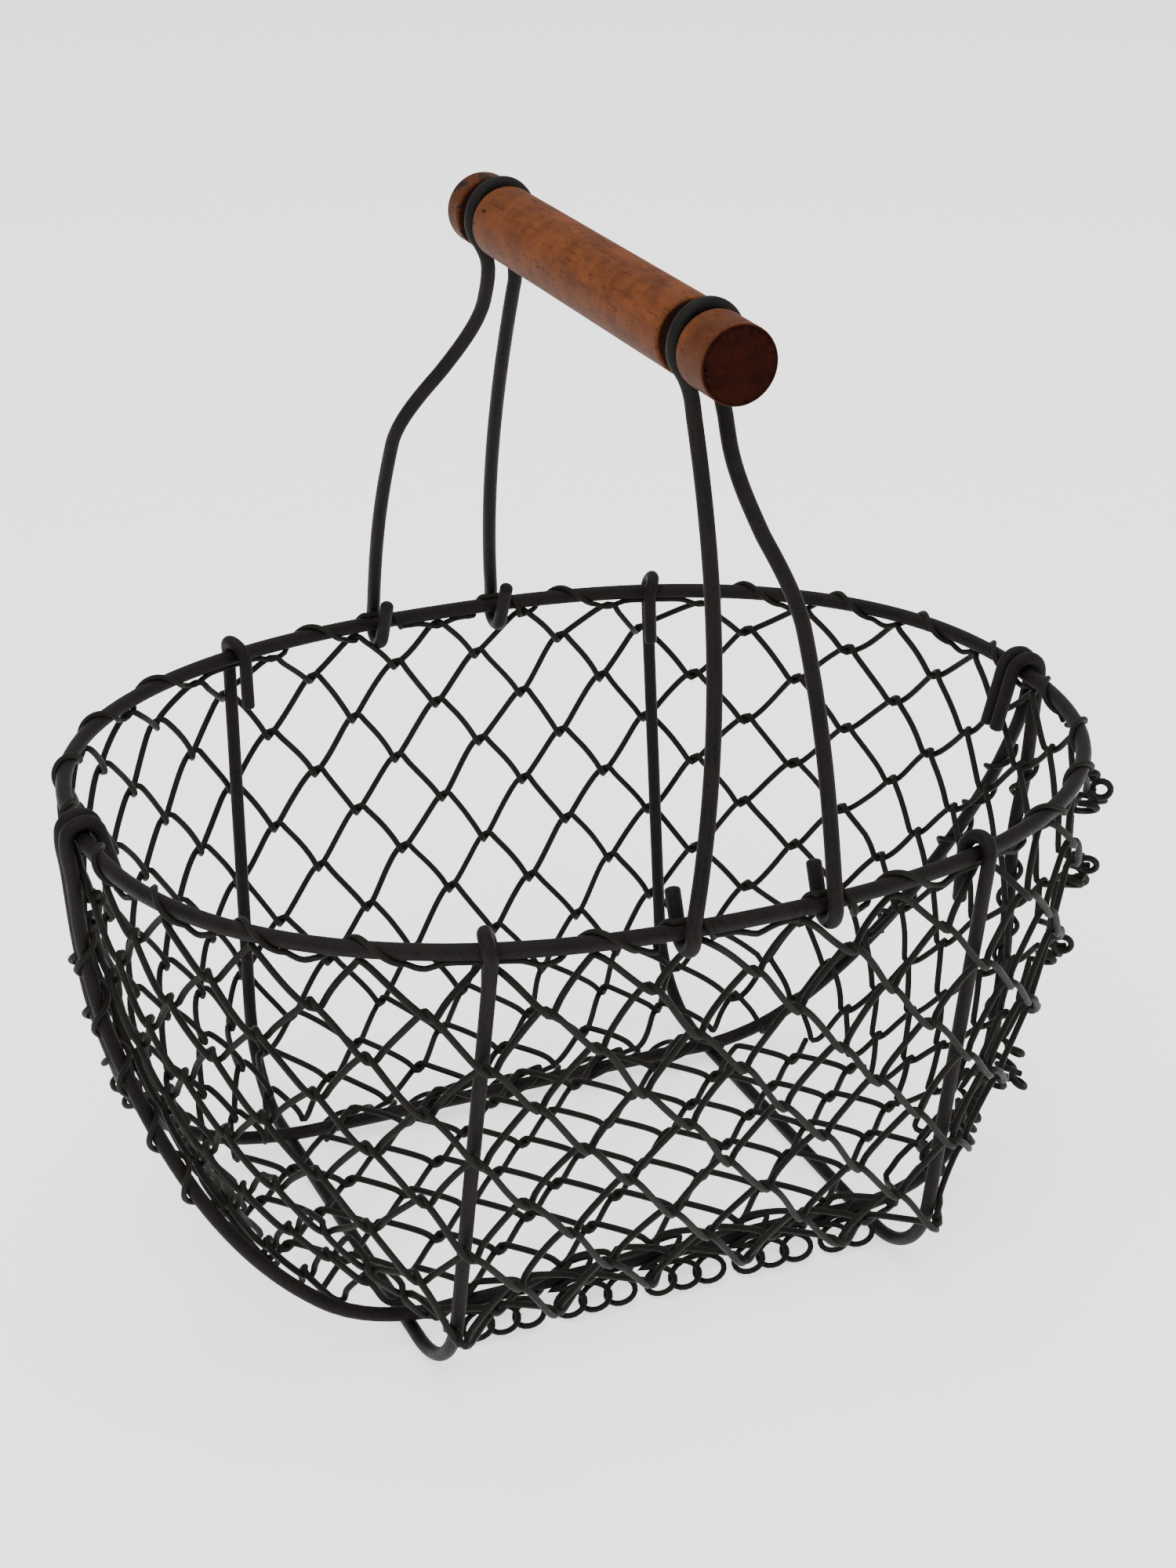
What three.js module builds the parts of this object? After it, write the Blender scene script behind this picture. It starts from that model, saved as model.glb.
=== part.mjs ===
// Oval wire storage basket with a swinging wooden grip.
//
// A bent rim hoop, two cross ribs that hook over its long sides and two lengthwise wires that hook
// over its ends make the frame. Zigzag strands hook into each other as a chain-link wall and base.
// Thin winding wire ties the net to the rim and to the base wires. Two bent bows hook round the rim
// and carry a turned grip in their loops.
//
// Millimetres, +Z up, X runs along the basket, the front of the basket is at -Y.

import * as THREE from 'three';

// Wires, all given as diameters
const RIM_WIRE = 5.0;
const RIB_WIRE = 4.6;
const LENGTHWISE_WIRE = 4.8;
const BOW_WIRE = 4.8;
const NET_WIRE = 2.2;            // across the corners of its three-sided section
const WINDING_WIRE = 1.6;
const PLAY = 0.3;                // left between wires that touch
const RIM_SIDES = 8;             // flats of a wire's section
const FRAME_SIDES = 6;
const THIN_SIDES = 3;

// Rim hoop, measured on its centreline
const RIM_LENGTH = 320;
const RIM_WIDTH = 253;
const RIM_SQUARENESS = 2.3;      // 2 is an ellipse, higher is boxier
const RIM_HEIGHT = 160.5;
const RIM_STEPS = 84;

// Cross ribs
const RIB_SPACING = 155;         // between the two ribs, at the rim
const RIB_SPREAD = 4;            // how much further left the left rib stands on the floor
const RIB_FOOT_FRONT = 92;       // where the leg line meets the floor line, from the middle
const RIB_FOOT_BACK = 103;
const RIB_CORNER = 34;           // bend radius at the foot
const RIB_HOOK_TAIL = 17;        // straight end inside the rim
const RIB_HOOK_LEAN = 4;         // degrees
const RIB_BEND_STEPS = 7;

// Lengthwise wires
const BASE_WIDTH = 116;          // between the two wires on the base
const BASE_STRAIGHT = 156;       // length of the straight run on the base
const END_HOOK_PITCH = 5.8;      // the two hooks sit side by side on the rim
const END_HOOK_TAIL = 20;
const END_HOOK_LEAN = 15;        // degrees
const SPLAY_FRONT_LEFT = 115;    // height where each wire leaves the middle of its end
const SPLAY_FRONT_RIGHT = 103;
const SPLAY_BACK_LEFT = 84;
const SPLAY_BACK_RIGHT = 148;
const SPLAY_CURVE_FRONT_LEFT = 1.2;
const SPLAY_CURVE_FRONT_RIGHT = 0.8;
const SPLAY_CURVE_BACK_LEFT = 1.1;
const SPLAY_CURVE_BACK_RIGHT = 1.25;
const END_LIFT = 8;              // where a wire turns up at an end, above the base wires
const END_BELLY = 2.5;           // how full the curve up an end is
const END_TAPER = 0.25;          // how much of its depth is a straight taper
const FOOT_LENGTH = 229;         // inside the wires' ends, at the height of the base net
const END_GUIDES = 6;            // guide points of the curve down an end
const END_GUIDE_CROWDING = 1.5;  // they stand closer together towards the base
const END_GUIDE_STEPS = 3;       // points of the wire to one guide
const END_LACE_ROOM_DROP = 49;   // depth over which the wire makes room for its lacing
const STRAIGHT_GUIDES = [0.5, 0.4];    // as shares of the straight run on the base
const STRAIGHT_POINTS = [-0.25, 0, 0.25];

// Net
const NET_PITCH = 31;            // one diamond along the basket
const SIDE_PITCHES = 5;          // diamonds between the ribs
const END_PITCHES = 9;           // diamonds round each end
const NET_ROWS = 11;             // strands in the wall
const NET_TOP_ROW = 10;          // height of the shorter top row
const NET_OFF_RIB = 6.3;         // middle of a rib's wire to the middle of the net outside it
const NET_CORNER_ROW = 8;        // the row of nodes on the corner of the foot, counted from the top
const NET_CORNER = 24;           // its height at a rib
const NET_FULLNESS = 6;          // the net stands out between the ribs, at half height
const NET_DRAW = 14;             // and is drawn in between them at the corner of the foot
const NET_DRAW_CURVE = 3.2;
const NET_REACH = 2.5;           // the ribs push the net out this far round the ends, in diamonds
const NET_REACH_LOW = 0.8;      // low down, less far
const NET_ROW_CROWDING = 1.1;    // at the ends the rows stand closer together towards the foot
const NET_LAYER = 1.36;          // half the step between the crossing layers
const NET_HOOK = 1.1;            // how far a bend reaches past the one it holds
const NET_BEND = 0.9;            // half the width of a bend
const FOOT_SQUARENESS = 4;
const SEAM = 11;                 // where the strands' ends meet, in diamonds from the left back rib
const SEAM_STEP_ROW = 6;         // from this strand down the seam lies one diamond further round
const SEAM_STUB = 8;             // how far the twisted ends stick out
const SEAM_HALF_GAP = 1.7;
const FOOT_PLAY = 0.8;           // the wall's foot and the base net stand this much higher over the
const NET_PLAY = 0.1;            // base wires than they need to
const FOOT_MARGIN = 1.5;         // and this far outside the base wires
const BASE_ROWS = 8;
const BASE_NET_INSET = 1.5;      // base net edge to the middle of the base wires
const BASE_NET_END_GAP = 10;

// Winding wire
const BINDING_START = 10.5;      // in diamonds from the left back rib
const BINDING_MARGIN = 0.05;     // its two ends stay this far apart from there
const WRAP_HALF = 0.34;          // half the length of a turn round the rim, in diamonds
const HOOK_WRAP_FLAT = 0.125;    // half the stretch on top of the rim at a bow hook
const HOOK_WRAP_RAMP = 0.15;
const LONG_SPAN = 1.5;           // a turn left out needs a point of its own under the rim
const WRAP_STEPS = 8;
const WINDING_SLACK = 0.15;
const LACE_GROUP = 3;            // hanging loops between two turns over the base wire
const LACE_LOOPS = 14;
const LACE_PITCH = 8.6;          // one loop along the wire
const LACE_LOOP_WIDTH = 7.7;     // on the wire's centre
const LACE_LOOP_LENGTH = 9.4;
const LACE_LIFT = 1.8;           // the sides of a loop pass each other this far off its middle
const LACE_START = 10;           // first loop's start, from the left rib
const LACE_STEPS = 8;
const LACE_ROOT = 30;            // degrees below level, where the loops leave the base wire
const LACE_FLOOR = 1;            // the tips of the loops above the floor
const END_LACE_TOP = 104;
const END_LACE_TURNS = 4;
const END_LACE_DROP = 19;
const END_LACE_STEPS = 8;
const END_LACE_SAMPLES = 240;

// Handle
const HOOK_SPACING = 44;         // between the two hooks of one bow
const HOOK_STUB = 11;            // free end of a hook above its bend
const GRIP_LENGTH = 188.6;
const GRIP_DIAMETER = 23;
const GRIP_HEIGHT = 311.3;       // grip axis above the floor
const GRIP_SIDE = 4.3;           // grip axis to the right of the middle
const GRIP_SHIFT = -4.8;         // middle of the grip towards the back
const GRIP_CHAMFER = 0.8;
const GRIP_FACETS = 28;
const GROOVE_SPACING = 150.5;
const GROOVE_SHIFT = -2.8;
const GROOVE_WIDTH = 9.8;
const GROOVE_DIAMETER = 17.2;
const LOOP_PLAY = 0.6;           // between a bow's loop and the groove floor
const NECK_DROP = 16;            // below the grip axis
const WAIST_DROP = 12.6;
const NECK_SPACING = 9.4;
const NECK_SHIFT = 0.6;          // the necks stand this far right of the grip axis
const SLANT_CURVE = 2.3;         // how early the slanted leg swings in
const SHOULDER_START = 0.53;     // where the other leg bends in, as a share of its length
const SHOULDER_SPAN = 0.4;
const SHOULDER_BULGE = 3;
const LEG_STEPS = 16;
const LOOP_STEPS = 12;
const HOOK_STEPS = 7;
const LOOP_ARC = 130;            // degrees each side of the top

// Sizes that follow from the others
const halfOf = (a, b) => (a + b) / 2;
const FLAT = Math.cos(Math.PI / FRAME_SIDES);    // the section is this much thinner over its flats
const RIB_FLOOR = (RIB_WIRE / 2) * FLAT;
const RIB_TO_RIM = halfOf(RIM_WIRE, RIB_WIRE) + PLAY;
const BASE_WIRE_HEIGHT = 2 * RIB_FLOOR + PLAY + (LENGTHWISE_WIRE / 2) * FLAT;
const NET_HALF = NET_LAYER + NET_WIRE / 2;
const NET_TO_WIRE = NET_HALF + PLAY + LENGTHWISE_WIRE / 2;
const LACE_ROOM = WINDING_WIRE + PLAY;
const FOOT_HEIGHT = BASE_WIRE_HEIGHT + NET_TO_WIRE + FOOT_PLAY;
const FOOT_WIDTH = BASE_WIDTH + 2 * FOOT_MARGIN;
const BASE_NET_HEIGHT = BASE_WIRE_HEIGHT + NET_TO_WIRE + NET_PLAY;
const WINDING_RADIUS = halfOf(RIM_WIRE, WINDING_WIRE) + PLAY + WINDING_SLACK;
const TOP_HEIGHT = RIM_HEIGHT - WINDING_RADIUS - WINDING_WIRE / 2 - PLAY - NET_WIRE / 2 - NET_HOOK;
const RIB_HALF = RIB_SPACING / 2;
const HALF_ROUND = SIDE_PITCHES + END_PITCHES;
const AROUND = 2 * HALF_ROUND;

const UP = new THREE.Vector3(0, 0, 1);
const vec = (x, y, z) => new THREE.Vector3(x, y, z);
const radians = THREE.MathUtils.degToRad;

// Materials

function steel(name, hex, roughness) {
  return new THREE.MeshStandardMaterial({ name, color: hex, roughness, metalness: 0.55 });
}

const frameSteel = steel('frame steel', 0x2b2421, 0.62);
const netSteel = steel('net steel', 0x2a2723, 0.68);
const wood = new THREE.MeshStandardMaterial({
  name: 'turned wood', color: 0x8a4c2d, roughness: 0.55, metalness: 0,
});

// Direction of a path at each of its points.
function pathTangents(points, closed) {
  const count = points.length;
  return points.map((point, i) => {
    const before = points[closed ? (i + count - 1) % count : Math.max(i - 1, 0)];
    const after = points[closed ? (i + 1) % count : Math.min(i + 1, count - 1)];
    const into = point.clone().sub(before).normalize();
    const away = after.clone().sub(point).normalize();
    return into.add(away).normalize();
  });
}

// A direction across the path at each point, which turns with the path and never twists. At the
// middle of the path it is as near to upright as can be.
function pathNormals(tangents, closed) {
  const upright = (vector, tangent) => (
    vector.clone().addScaledVector(tangent, -vector.dot(tangent)).normalize()
  );
  const middle = closed ? 0 : Math.floor(tangents.length / 2);
  const normals = [];
  normals[middle] = upright(UP, tangents[middle]);
  for (let i = middle + 1; i < tangents.length; i++) {
    normals[i] = upright(normals[i - 1], tangents[i]);
  }
  for (let i = middle - 1; i >= 0; i--) {
    normals[i] = upright(normals[i + 1], tangents[i]);
  }
  return normals;
}

// Triangles between the sections, and over the two ends of an open wire.
function wireIndex(count, sides, closed) {
  const index = [];
  const spans = closed ? count : count - 1;
  for (let i = 0; i < spans; i++) {
    const here = i * sides;
    const next = ((i + 1) % count) * sides;
    for (let k = 0; k < sides; k++) {
      const m = (k + 1) % sides;
      index.push(here + k, next + m, next + k, here + k, here + m, next + m);
    }
  }
  const last = (count - 1) * sides;
  for (let k = 1; k < sides - 1 && !closed; k++) {
    index.push(0, k + 1, k, last, last + k, last + k + 1);
  }
  return index;
}

// A wire of constant section along a list of points, as one closed body. The section is a regular
// polygon with a flat towards the path's normal.
function wireGeometry(points, diameter, sides, closed = false) {
  const tangents = pathTangents(points, closed);
  const normals = pathNormals(tangents, closed);
  const positions = [];
  points.forEach((point, i) => {
    const side = new THREE.Vector3().crossVectors(tangents[i], normals[i]);
    for (let k = 0; k < sides; k++) {
      const angle = (2 * Math.PI * (k + 0.5)) / sides;
      const corner = point.clone()
        .addScaledVector(normals[i], (diameter / 2) * Math.cos(angle))
        .addScaledVector(side, (diameter / 2) * Math.sin(angle));
      positions.push(corner.x, corner.y, corner.z);
    }
  });
  const geometry = new THREE.BufferGeometry();
  geometry.setAttribute('position', new THREE.Float32BufferAttribute(positions, 3));
  geometry.setIndex(wireIndex(points.length, sides, closed));
  geometry.computeVertexNormals();
  return geometry;
}

function named(name, geometry, material) {
  const mesh = new THREE.Mesh(geometry, material);
  mesh.name = name;
  return mesh;
}

// Points on an arc about a centre, from one unit direction turned towards another.
function arcPoints(centre, from, towards, radius, degrees, steps) {
  const points = [];
  for (let i = 0; i <= steps; i++) {
    const angle = radians(degrees) * (i / steps);
    points.push(centre.clone()
      .addScaledVector(from, radius * Math.cos(angle))
      .addScaledVector(towards, radius * Math.sin(angle)));
  }
  return points;
}

// A corner between two straight lines as an arc.
function roundedCorner(before, corner, after, radius, steps) {
  const a = before.clone().sub(corner).normalize();
  const b = after.clone().sub(corner).normalize();
  const half = a.angleTo(b) / 2;
  const inward = a.clone().add(b).normalize();
  const centre = corner.clone().addScaledVector(inward, radius / Math.sin(half));
  const start = corner.clone().addScaledVector(a, radius / Math.tan(half));
  const from = start.clone().sub(centre).normalize();
  const towards = a.clone().negate();
  return arcPoints(centre, from, towards, radius, 180 - THREE.MathUtils.radToDeg(2 * half), steps);
}

// The oval that the ends of the lengthwise wires lie round, at a height: half length, half width
// and squareness.
function ovalAt(height) {
  const t = (height - FOOT_HEIGHT) / (RIM_HEIGHT - FOOT_HEIGHT);
  const rise = END_TAPER * t + (1 - END_TAPER) * (1 - Math.max(1 - t, 0) ** END_BELLY);
  return {
    a: (FOOT_LENGTH + (RIM_LENGTH - FOOT_LENGTH) * rise) / 2,
    b: (FOOT_WIDTH + (RIM_WIDTH - FOOT_WIDTH) * t) / 2,
    n: FOOT_SQUARENESS + (RIM_SQUARENESS - FOOT_SQUARENESS) * Math.min(t, 1),
  };
}

const rimOval = { a: RIM_LENGTH / 2, b: RIM_WIDTH / 2, n: RIM_SQUARENESS };

function ovalPolar(oval, angle) {
  const c = Math.cos(angle);
  const s = Math.sin(angle);
  const sum = Math.abs(c / oval.a) ** oval.n + Math.abs(s / oval.b) ** oval.n;
  const r = sum ** (-1 / oval.n);
  return [r * c, r * s];
}

function ovalY(oval, x) {
  return oval.b * (1 - Math.abs(x / oval.a) ** oval.n) ** (1 / oval.n);
}

function ovalX(oval, y) {
  return oval.a * (1 - Math.abs(y / oval.b) ** oval.n) ** (1 / oval.n);
}

// One end as a list of points with the length run so far, from a rib line to the far rib line.
const END_RUN_STEPS = 96;
const endRuns = new Map();
function endRun(oval, key) {
  if (!endRuns.has(key)) {
    const start = Math.atan2(ovalY(oval, RIB_HALF), RIB_HALF);
    const run = [];
    let length = 0;
    for (let i = 0; i <= END_RUN_STEPS; i++) {
      const [x, y] = ovalPolar(oval, start * (1 - (2 * i) / END_RUN_STEPS));
      if (i > 0) {
        length += Math.hypot(x - run[i - 1].x, y - run[i - 1].y);
      }
      run.push({ x, y, length });
    }
    endRuns.set(key, run);
  }
  return endRuns.get(key);
}

// Point number u round an oval, in diamonds, clockwise from the left back rib.
function roundOval(oval, key, u) {
  const turn = THREE.MathUtils.euclideanModulo(u, AROUND);
  const sign = turn < HALF_ROUND ? 1 : -1;
  const along = turn < HALF_ROUND ? turn : turn - HALF_ROUND;
  if (along <= SIDE_PITCHES) {
    const x = -RIB_HALF + (RIB_SPACING * along) / SIDE_PITCHES;
    return [sign * x, sign * ovalY(oval, x)];
  }
  const run = endRun(oval, key);
  const target = (run[run.length - 1].length * (along - SIDE_PITCHES)) / END_PITCHES;
  let i = 1;
  while (i < run.length - 1 && run[i].length < target) {
    i++;
  }
  const share = (target - run[i - 1].length) / (run[i].length - run[i - 1].length);
  const x = run[i - 1].x + (run[i].x - run[i - 1].x) * share;
  const y = run[i - 1].y + (run[i].y - run[i - 1].y) * share;
  return [sign * x, sign * y];
}

// The side of the net at a rib and a row of its nodes: its distance from the middle and its height.
// It runs down the outside of the rib's leg and round the bend, then straight in to the base wire.
function netSide(footReach, row) {
  const top = ovalY(rimOval, RIB_HALF) + RIB_TO_RIM;
  const lean = Math.atan2(top - footReach, RIM_HEIGHT - RIB_FLOOR);
  const radius = RIB_CORNER + NET_OFF_RIB;
  const centreZ = RIB_FLOOR + RIB_CORNER;
  const centreY = footReach + RIB_CORNER * Math.tan(lean) - RIB_CORNER / Math.cos(lean);
  const turnZ = centreZ - radius * Math.sin(lean);
  const leg = (TOP_HEIGHT - NET_TOP_ROW - turnZ) / Math.cos(lean);
  const cornerAngle = Math.asin((centreZ - NET_CORNER) / radius);
  const bend = radius * (cornerAngle - lean);
  const run = ((leg + bend) * (row - 1)) / (NET_CORNER_ROW - 1);
  if (run < leg) {
    const up = leg - run;
    return [centreY + radius * Math.cos(lean) + up * Math.sin(lean), turnZ + up * Math.cos(lean)];
  }
  if (row <= NET_CORNER_ROW) {
    const angle = lean + (run - leg) / radius;
    return [centreY + radius * Math.cos(angle), centreZ - radius * Math.sin(angle)];
  }
  const cornerY = centreY + radius * Math.cos(cornerAngle);
  const share = (row - NET_CORNER_ROW) / (NET_ROWS - NET_CORNER_ROW);
  const foot = FOOT_WIDTH / 2;
  return [cornerY + (foot - cornerY) * share, NET_CORNER + (FOOT_HEIGHT - NET_CORNER) * share];
}

// A place between two ribs. Only the top row follows the rim.
function sidePoint(turn, row) {
  const back = turn < HALF_ROUND;
  const sign = back ? 1 : -1;
  const x = sign * (((turn % HALF_ROUND) * RIB_SPACING) / SIDE_PITCHES - RIB_HALF);
  const [y, z] = netSide(back ? RIB_FOOT_BACK : RIB_FOOT_FRONT, Math.max(row, 1));
  const down = row / NET_ROWS;
  const drawn = NET_DRAW * Math.sin(Math.PI * down ** NET_DRAW_CURVE);
  const full = NET_FULLNESS * Math.sin(Math.PI * down) - drawn;
  const below = Math.min(row, 1);
  const left = (RIB_HALF - x) / RIB_SPACING;
  const inward = Math.max(0, (row - NET_CORNER_ROW) / (NET_ROWS - NET_CORNER_ROW));
  const spread = (RIB_SPREAD * left * (1 - inward ** 2) * (RIM_HEIGHT - z)) / RIM_HEIGHT;
  const rimY = ovalY(rimOval, x);
  const wide = y + full * (1 - (x / RIB_HALF) ** 2);
  return vec(
    x - spread * below,
    sign * (rimY + (wide - rimY) * below),
    TOP_HEIGHT + (z - TOP_HEIGHT) * below,
  );
}

// A place round an end, before the ribs push it out.
function endPoint(turn, row) {
  const share = Math.max(row - 1, 0) / (NET_ROWS - 1);
  const start = TOP_HEIGHT - NET_TOP_ROW * Math.min(row, 1);
  const height = FOOT_HEIGHT + (start - FOOT_HEIGHT) * (1 - share) ** NET_ROW_CROWDING;
  const [x, y] = roundOval(ovalAt(height), row, turn);
  return vec(x, y, height);
}

function wallPoint(u, wanted) {
  const row = Math.max(0, Math.min(NET_ROWS, wanted));
  const turn = THREE.MathUtils.euclideanModulo(u, AROUND);
  const along = turn % HALF_ROUND;
  if (along <= SIDE_PITCHES) {
    return sidePoint(turn, row);
  }
  const half = turn - along;
  const past = along - SIDE_PITCHES;
  const before = HALF_ROUND - along;
  const low = THREE.MathUtils.smoothstep(row, NET_CORNER_ROW - 3, NET_CORNER_ROW + 2);
  const reach = NET_REACH + (NET_REACH_LOW - NET_REACH) * low;
  const point = endPoint(turn, row);
  const push = (rib, distance) => {
    const weight = Math.max(0, 1 - distance / reach);
    if (weight > 0) {
      point.addScaledVector(sidePoint(rib, row).sub(endPoint(rib, row)), weight);
    }
  };
  push(half + SIDE_PITCHES, past);
  push((half + HALF_ROUND) % AROUND, before);
  return point;
}

function rimPoint(u) {
  const [x, y] = roundOval(rimOval, 'rim', u);
  return vec(x, y, RIM_HEIGHT);
}

// Place on the net with its own axes: along the wall, down the wall and out of it.
function wallFrame(u, row) {
  const step = 0.05;
  const along = wallPoint(u + step, row).sub(wallPoint(u - step, row)).normalize();
  const down = wallPoint(u, row + step).sub(wallPoint(u, row - step)).normalize();
  const out = new THREE.Vector3().crossVectors(along, down).normalize();
  return { centre: wallPoint(u, row), along, down, out };
}

// A point this far off that oval, at a height and a distance from the middle of the end.
function endWallPoint(side, y, height, offset) {
  const x = side * ovalX(ovalAt(height), y);
  const field = (px, py, pz) => {
    const oval = ovalAt(pz);
    return Math.abs(px / oval.a) ** oval.n + Math.abs(py / oval.b) ** oval.n;
  };
  const step = 0.01;
  const out = vec(
    field(x + step, y, height) - field(x - step, y, height),
    field(x, y + step, height) - field(x, y - step, height),
    field(x, y, height + step) - field(x, y, height - step),
  ).normalize();
  return vec(x, y, height).addScaledVector(out, offset);
}

// The same place aimed at: the offset point itself has the height and the distance asked for.
function aimedWallPoint(side, y, height, offset) {
  let aimY = y;
  let aimHeight = height;
  let point = endWallPoint(side, aimY, aimHeight, offset);
  for (let i = 0; i < 4; i++) {
    aimY += y - point.y;
    aimHeight += height - point.z;
    point = endWallPoint(side, aimY, aimHeight, offset);
  }
  return point;
}

function rimHoop() {
  const points = [];
  for (let i = 0; i < RIM_STEPS; i++) {
    const [x, y] = ovalPolar(rimOval, (2 * Math.PI * i) / RIM_STEPS);
    points.push(vec(x, y, RIM_HEIGHT));
  }
  return named('rim_hoop', wireGeometry(points, RIM_WIRE, RIM_SIDES, true), frameSteel);
}

function crossRib(side, name) {
  const top = side * RIB_HALF;
  const foot = side < 0 ? top - RIB_SPREAD : top;
  const reach = RIB_TO_RIM;
  const edge = ovalY(rimOval, top);
  const across = (y, z) => vec(top + ((foot - top) * (RIM_HEIGHT - z)) / (RIM_HEIGHT - RIB_FLOOR), y, z);
  const hook = (back) => {
    const away = vec(0, back, 0);
    const centre = vec(top, back * edge, RIM_HEIGHT);
    const wrap = arcPoints(centre, away, UP, reach, 180 - RIB_HOOK_LEAN, HOOK_STEPS);
    const tail = vec(0, -back * Math.sin(radians(RIB_HOOK_LEAN)), -Math.cos(radians(RIB_HOOK_LEAN)));
    const end = wrap[wrap.length - 1].clone().addScaledVector(tail, RIB_HOOK_TAIL);
    return [end, ...wrap.reverse()];
  };
  const corner = (back, reachOut) => {
    const leg = across(back * (edge + reach), RIM_HEIGHT);
    const bend = across(back * reachOut, RIB_FLOOR);
    return roundedCorner(leg, bend, across(0, RIB_FLOOR), RIB_CORNER, RIB_BEND_STEPS);
  };
  const points = [
    ...hook(-1),
    ...corner(-1, RIB_FOOT_FRONT),
    ...corner(1, RIB_FOOT_BACK).reverse(),
    ...hook(1).reverse(),
  ];
  return named(name, wireGeometry(points, RIB_WIRE, FRAME_SIDES), frameSteel);
}

// How far from the middle of its end a lengthwise wire stands at a height.
function splay(top, curve, height) {
  const share = Math.max(0, Math.min(1, (height - BASE_WIRE_HEIGHT) / (top - BASE_WIRE_HEIGHT)));
  return (BASE_WIDTH / 2) * (1 - share ** curve);
}

// One end of a lengthwise wire: hook over the rim, then down the outside of the end wall.
function wireEnd(side, back, top, curve) {
  const middle = END_HOOK_PITCH / 2;
  const reach = halfOf(RIM_WIRE, LENGTHWISE_WIRE) + PLAY;
  const centre = vec(side * ovalX(rimOval, middle), back * middle, RIM_HEIGHT);
  const wrap = arcPoints(centre, vec(side, 0, 0), UP, reach, 180 - END_HOOK_LEAN, HOOK_STEPS);
  const lean = radians(END_HOOK_LEAN);
  const tail = vec(-side * Math.sin(lean), 0, -Math.cos(lean));
  const end = wrap[wrap.length - 1].clone().addScaledVector(tail, END_HOOK_TAIL);
  const hook = [end, ...wrap.reverse()];
  const start = TOP_HEIGHT - LENGTHWISE_WIRE;
  const bottom = BASE_WIRE_HEIGHT + END_LIFT;
  const guides = [];
  for (let i = 0; i <= END_GUIDES; i++) {
    const height = bottom + (start - bottom) * (1 - i / END_GUIDES) ** END_GUIDE_CROWDING;
    const y = back * Math.max(middle, splay(top, curve, height));
    const room = LACE_ROOM * THREE.MathUtils.smoothstep(start - height, 0, END_LACE_ROOM_DROP);
    guides.push(aimedWallPoint(side, y, height, NET_TO_WIRE + room));
  }
  const base = STRAIGHT_GUIDES.map((share) => baseWirePoint(side * share, back));
  const through = [hook[hook.length - 1], ...guides, ...base];
  const line = new THREE.CatmullRomCurve3(through, false, 'centripetal');
  const run = line.getPoints((through.length - 1) * END_GUIDE_STEPS);
  const last = (through.length - 2) * END_GUIDE_STEPS;
  return [...hook, ...run.slice(2, last + 1)];
}

function baseWirePoint(share, back) {
  return vec(share * BASE_STRAIGHT, (back * BASE_WIDTH) / 2, BASE_WIRE_HEIGHT);
}

function lengthwisePath(back, left, leftCurve, right, rightCurve) {
  const straight = STRAIGHT_POINTS.map((share) => baseWirePoint(share, back));
  return [
    ...wireEnd(-1, back, left, leftCurve),
    ...straight,
    ...wireEnd(1, back, right, rightCurve).reverse(),
  ];
}

const frontPath = lengthwisePath(-1, SPLAY_FRONT_LEFT, SPLAY_CURVE_FRONT_LEFT,
  SPLAY_FRONT_RIGHT, SPLAY_CURVE_FRONT_RIGHT);
const backPath = lengthwisePath(1, SPLAY_BACK_LEFT, SPLAY_CURVE_BACK_LEFT,
  SPLAY_BACK_RIGHT, SPLAY_CURVE_BACK_RIGHT);

function lengthwiseWire(path, name) {
  return named(name, wireGeometry(path, LENGTHWISE_WIRE, FRAME_SIDES), frameSteel);
}

// One zigzag wire. Each bend is two points: the rising legs lie in the outer layer and the falling
// legs in the inner one, so that every bend hooks through the bend of the next strand.
function bendPoints(frame, upper) {
  const drop = upper ? -NET_HOOK : NET_HOOK;
  const entry = upper ? NET_LAYER : -NET_LAYER;
  const place = (along, out) => frame.centre.clone()
    .addScaledVector(frame.along, along)
    .addScaledVector(frame.down, drop)
    .addScaledVector(frame.out, out);
  return [place(-NET_BEND, entry), place(NET_BEND, -entry)];
}

// At the seam the ends don't hook: they turn out of the wall beside the ends of the next strand.
function seamEnd(frame, upper, first) {
  const drop = upper ? NET_HOOK : -NET_HOOK;
  const side = first ? SEAM_HALF_GAP : -SEAM_HALF_GAP;
  const root = frame.centre.clone()
    .addScaledVector(frame.along, side)
    .addScaledVector(frame.down, drop);
  const tip = root.clone().addScaledVector(frame.out, SEAM_STUB);
  return [tip, root];
}

function wallStrand(row) {
  const odd = row % 2;
  const seam = SEAM + (row >= SEAM_STEP_ROW ? 1 : 0);
  const points = [];
  const last = 2 * AROUND;
  for (let i = 0; i <= last; i++) {
    const u = seam + i / 2;
    const upper = (i + odd) % 2 === 1;
    const frame = wallFrame(u, upper ? row : row + 1);
    if (i === 0) {
      points.push(...seamEnd(frame, upper, true));
    } else if (i === last) {
      points.push(...seamEnd(frame, upper, false).reverse());
    } else {
      points.push(...bendPoints(frame, upper));
    }
  }
  const name = `wall_strand_${String(row + 1).padStart(2, '0')}`;
  return named(name, wireGeometry(points, NET_WIRE, THIN_SIDES), netSteel);
}

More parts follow.
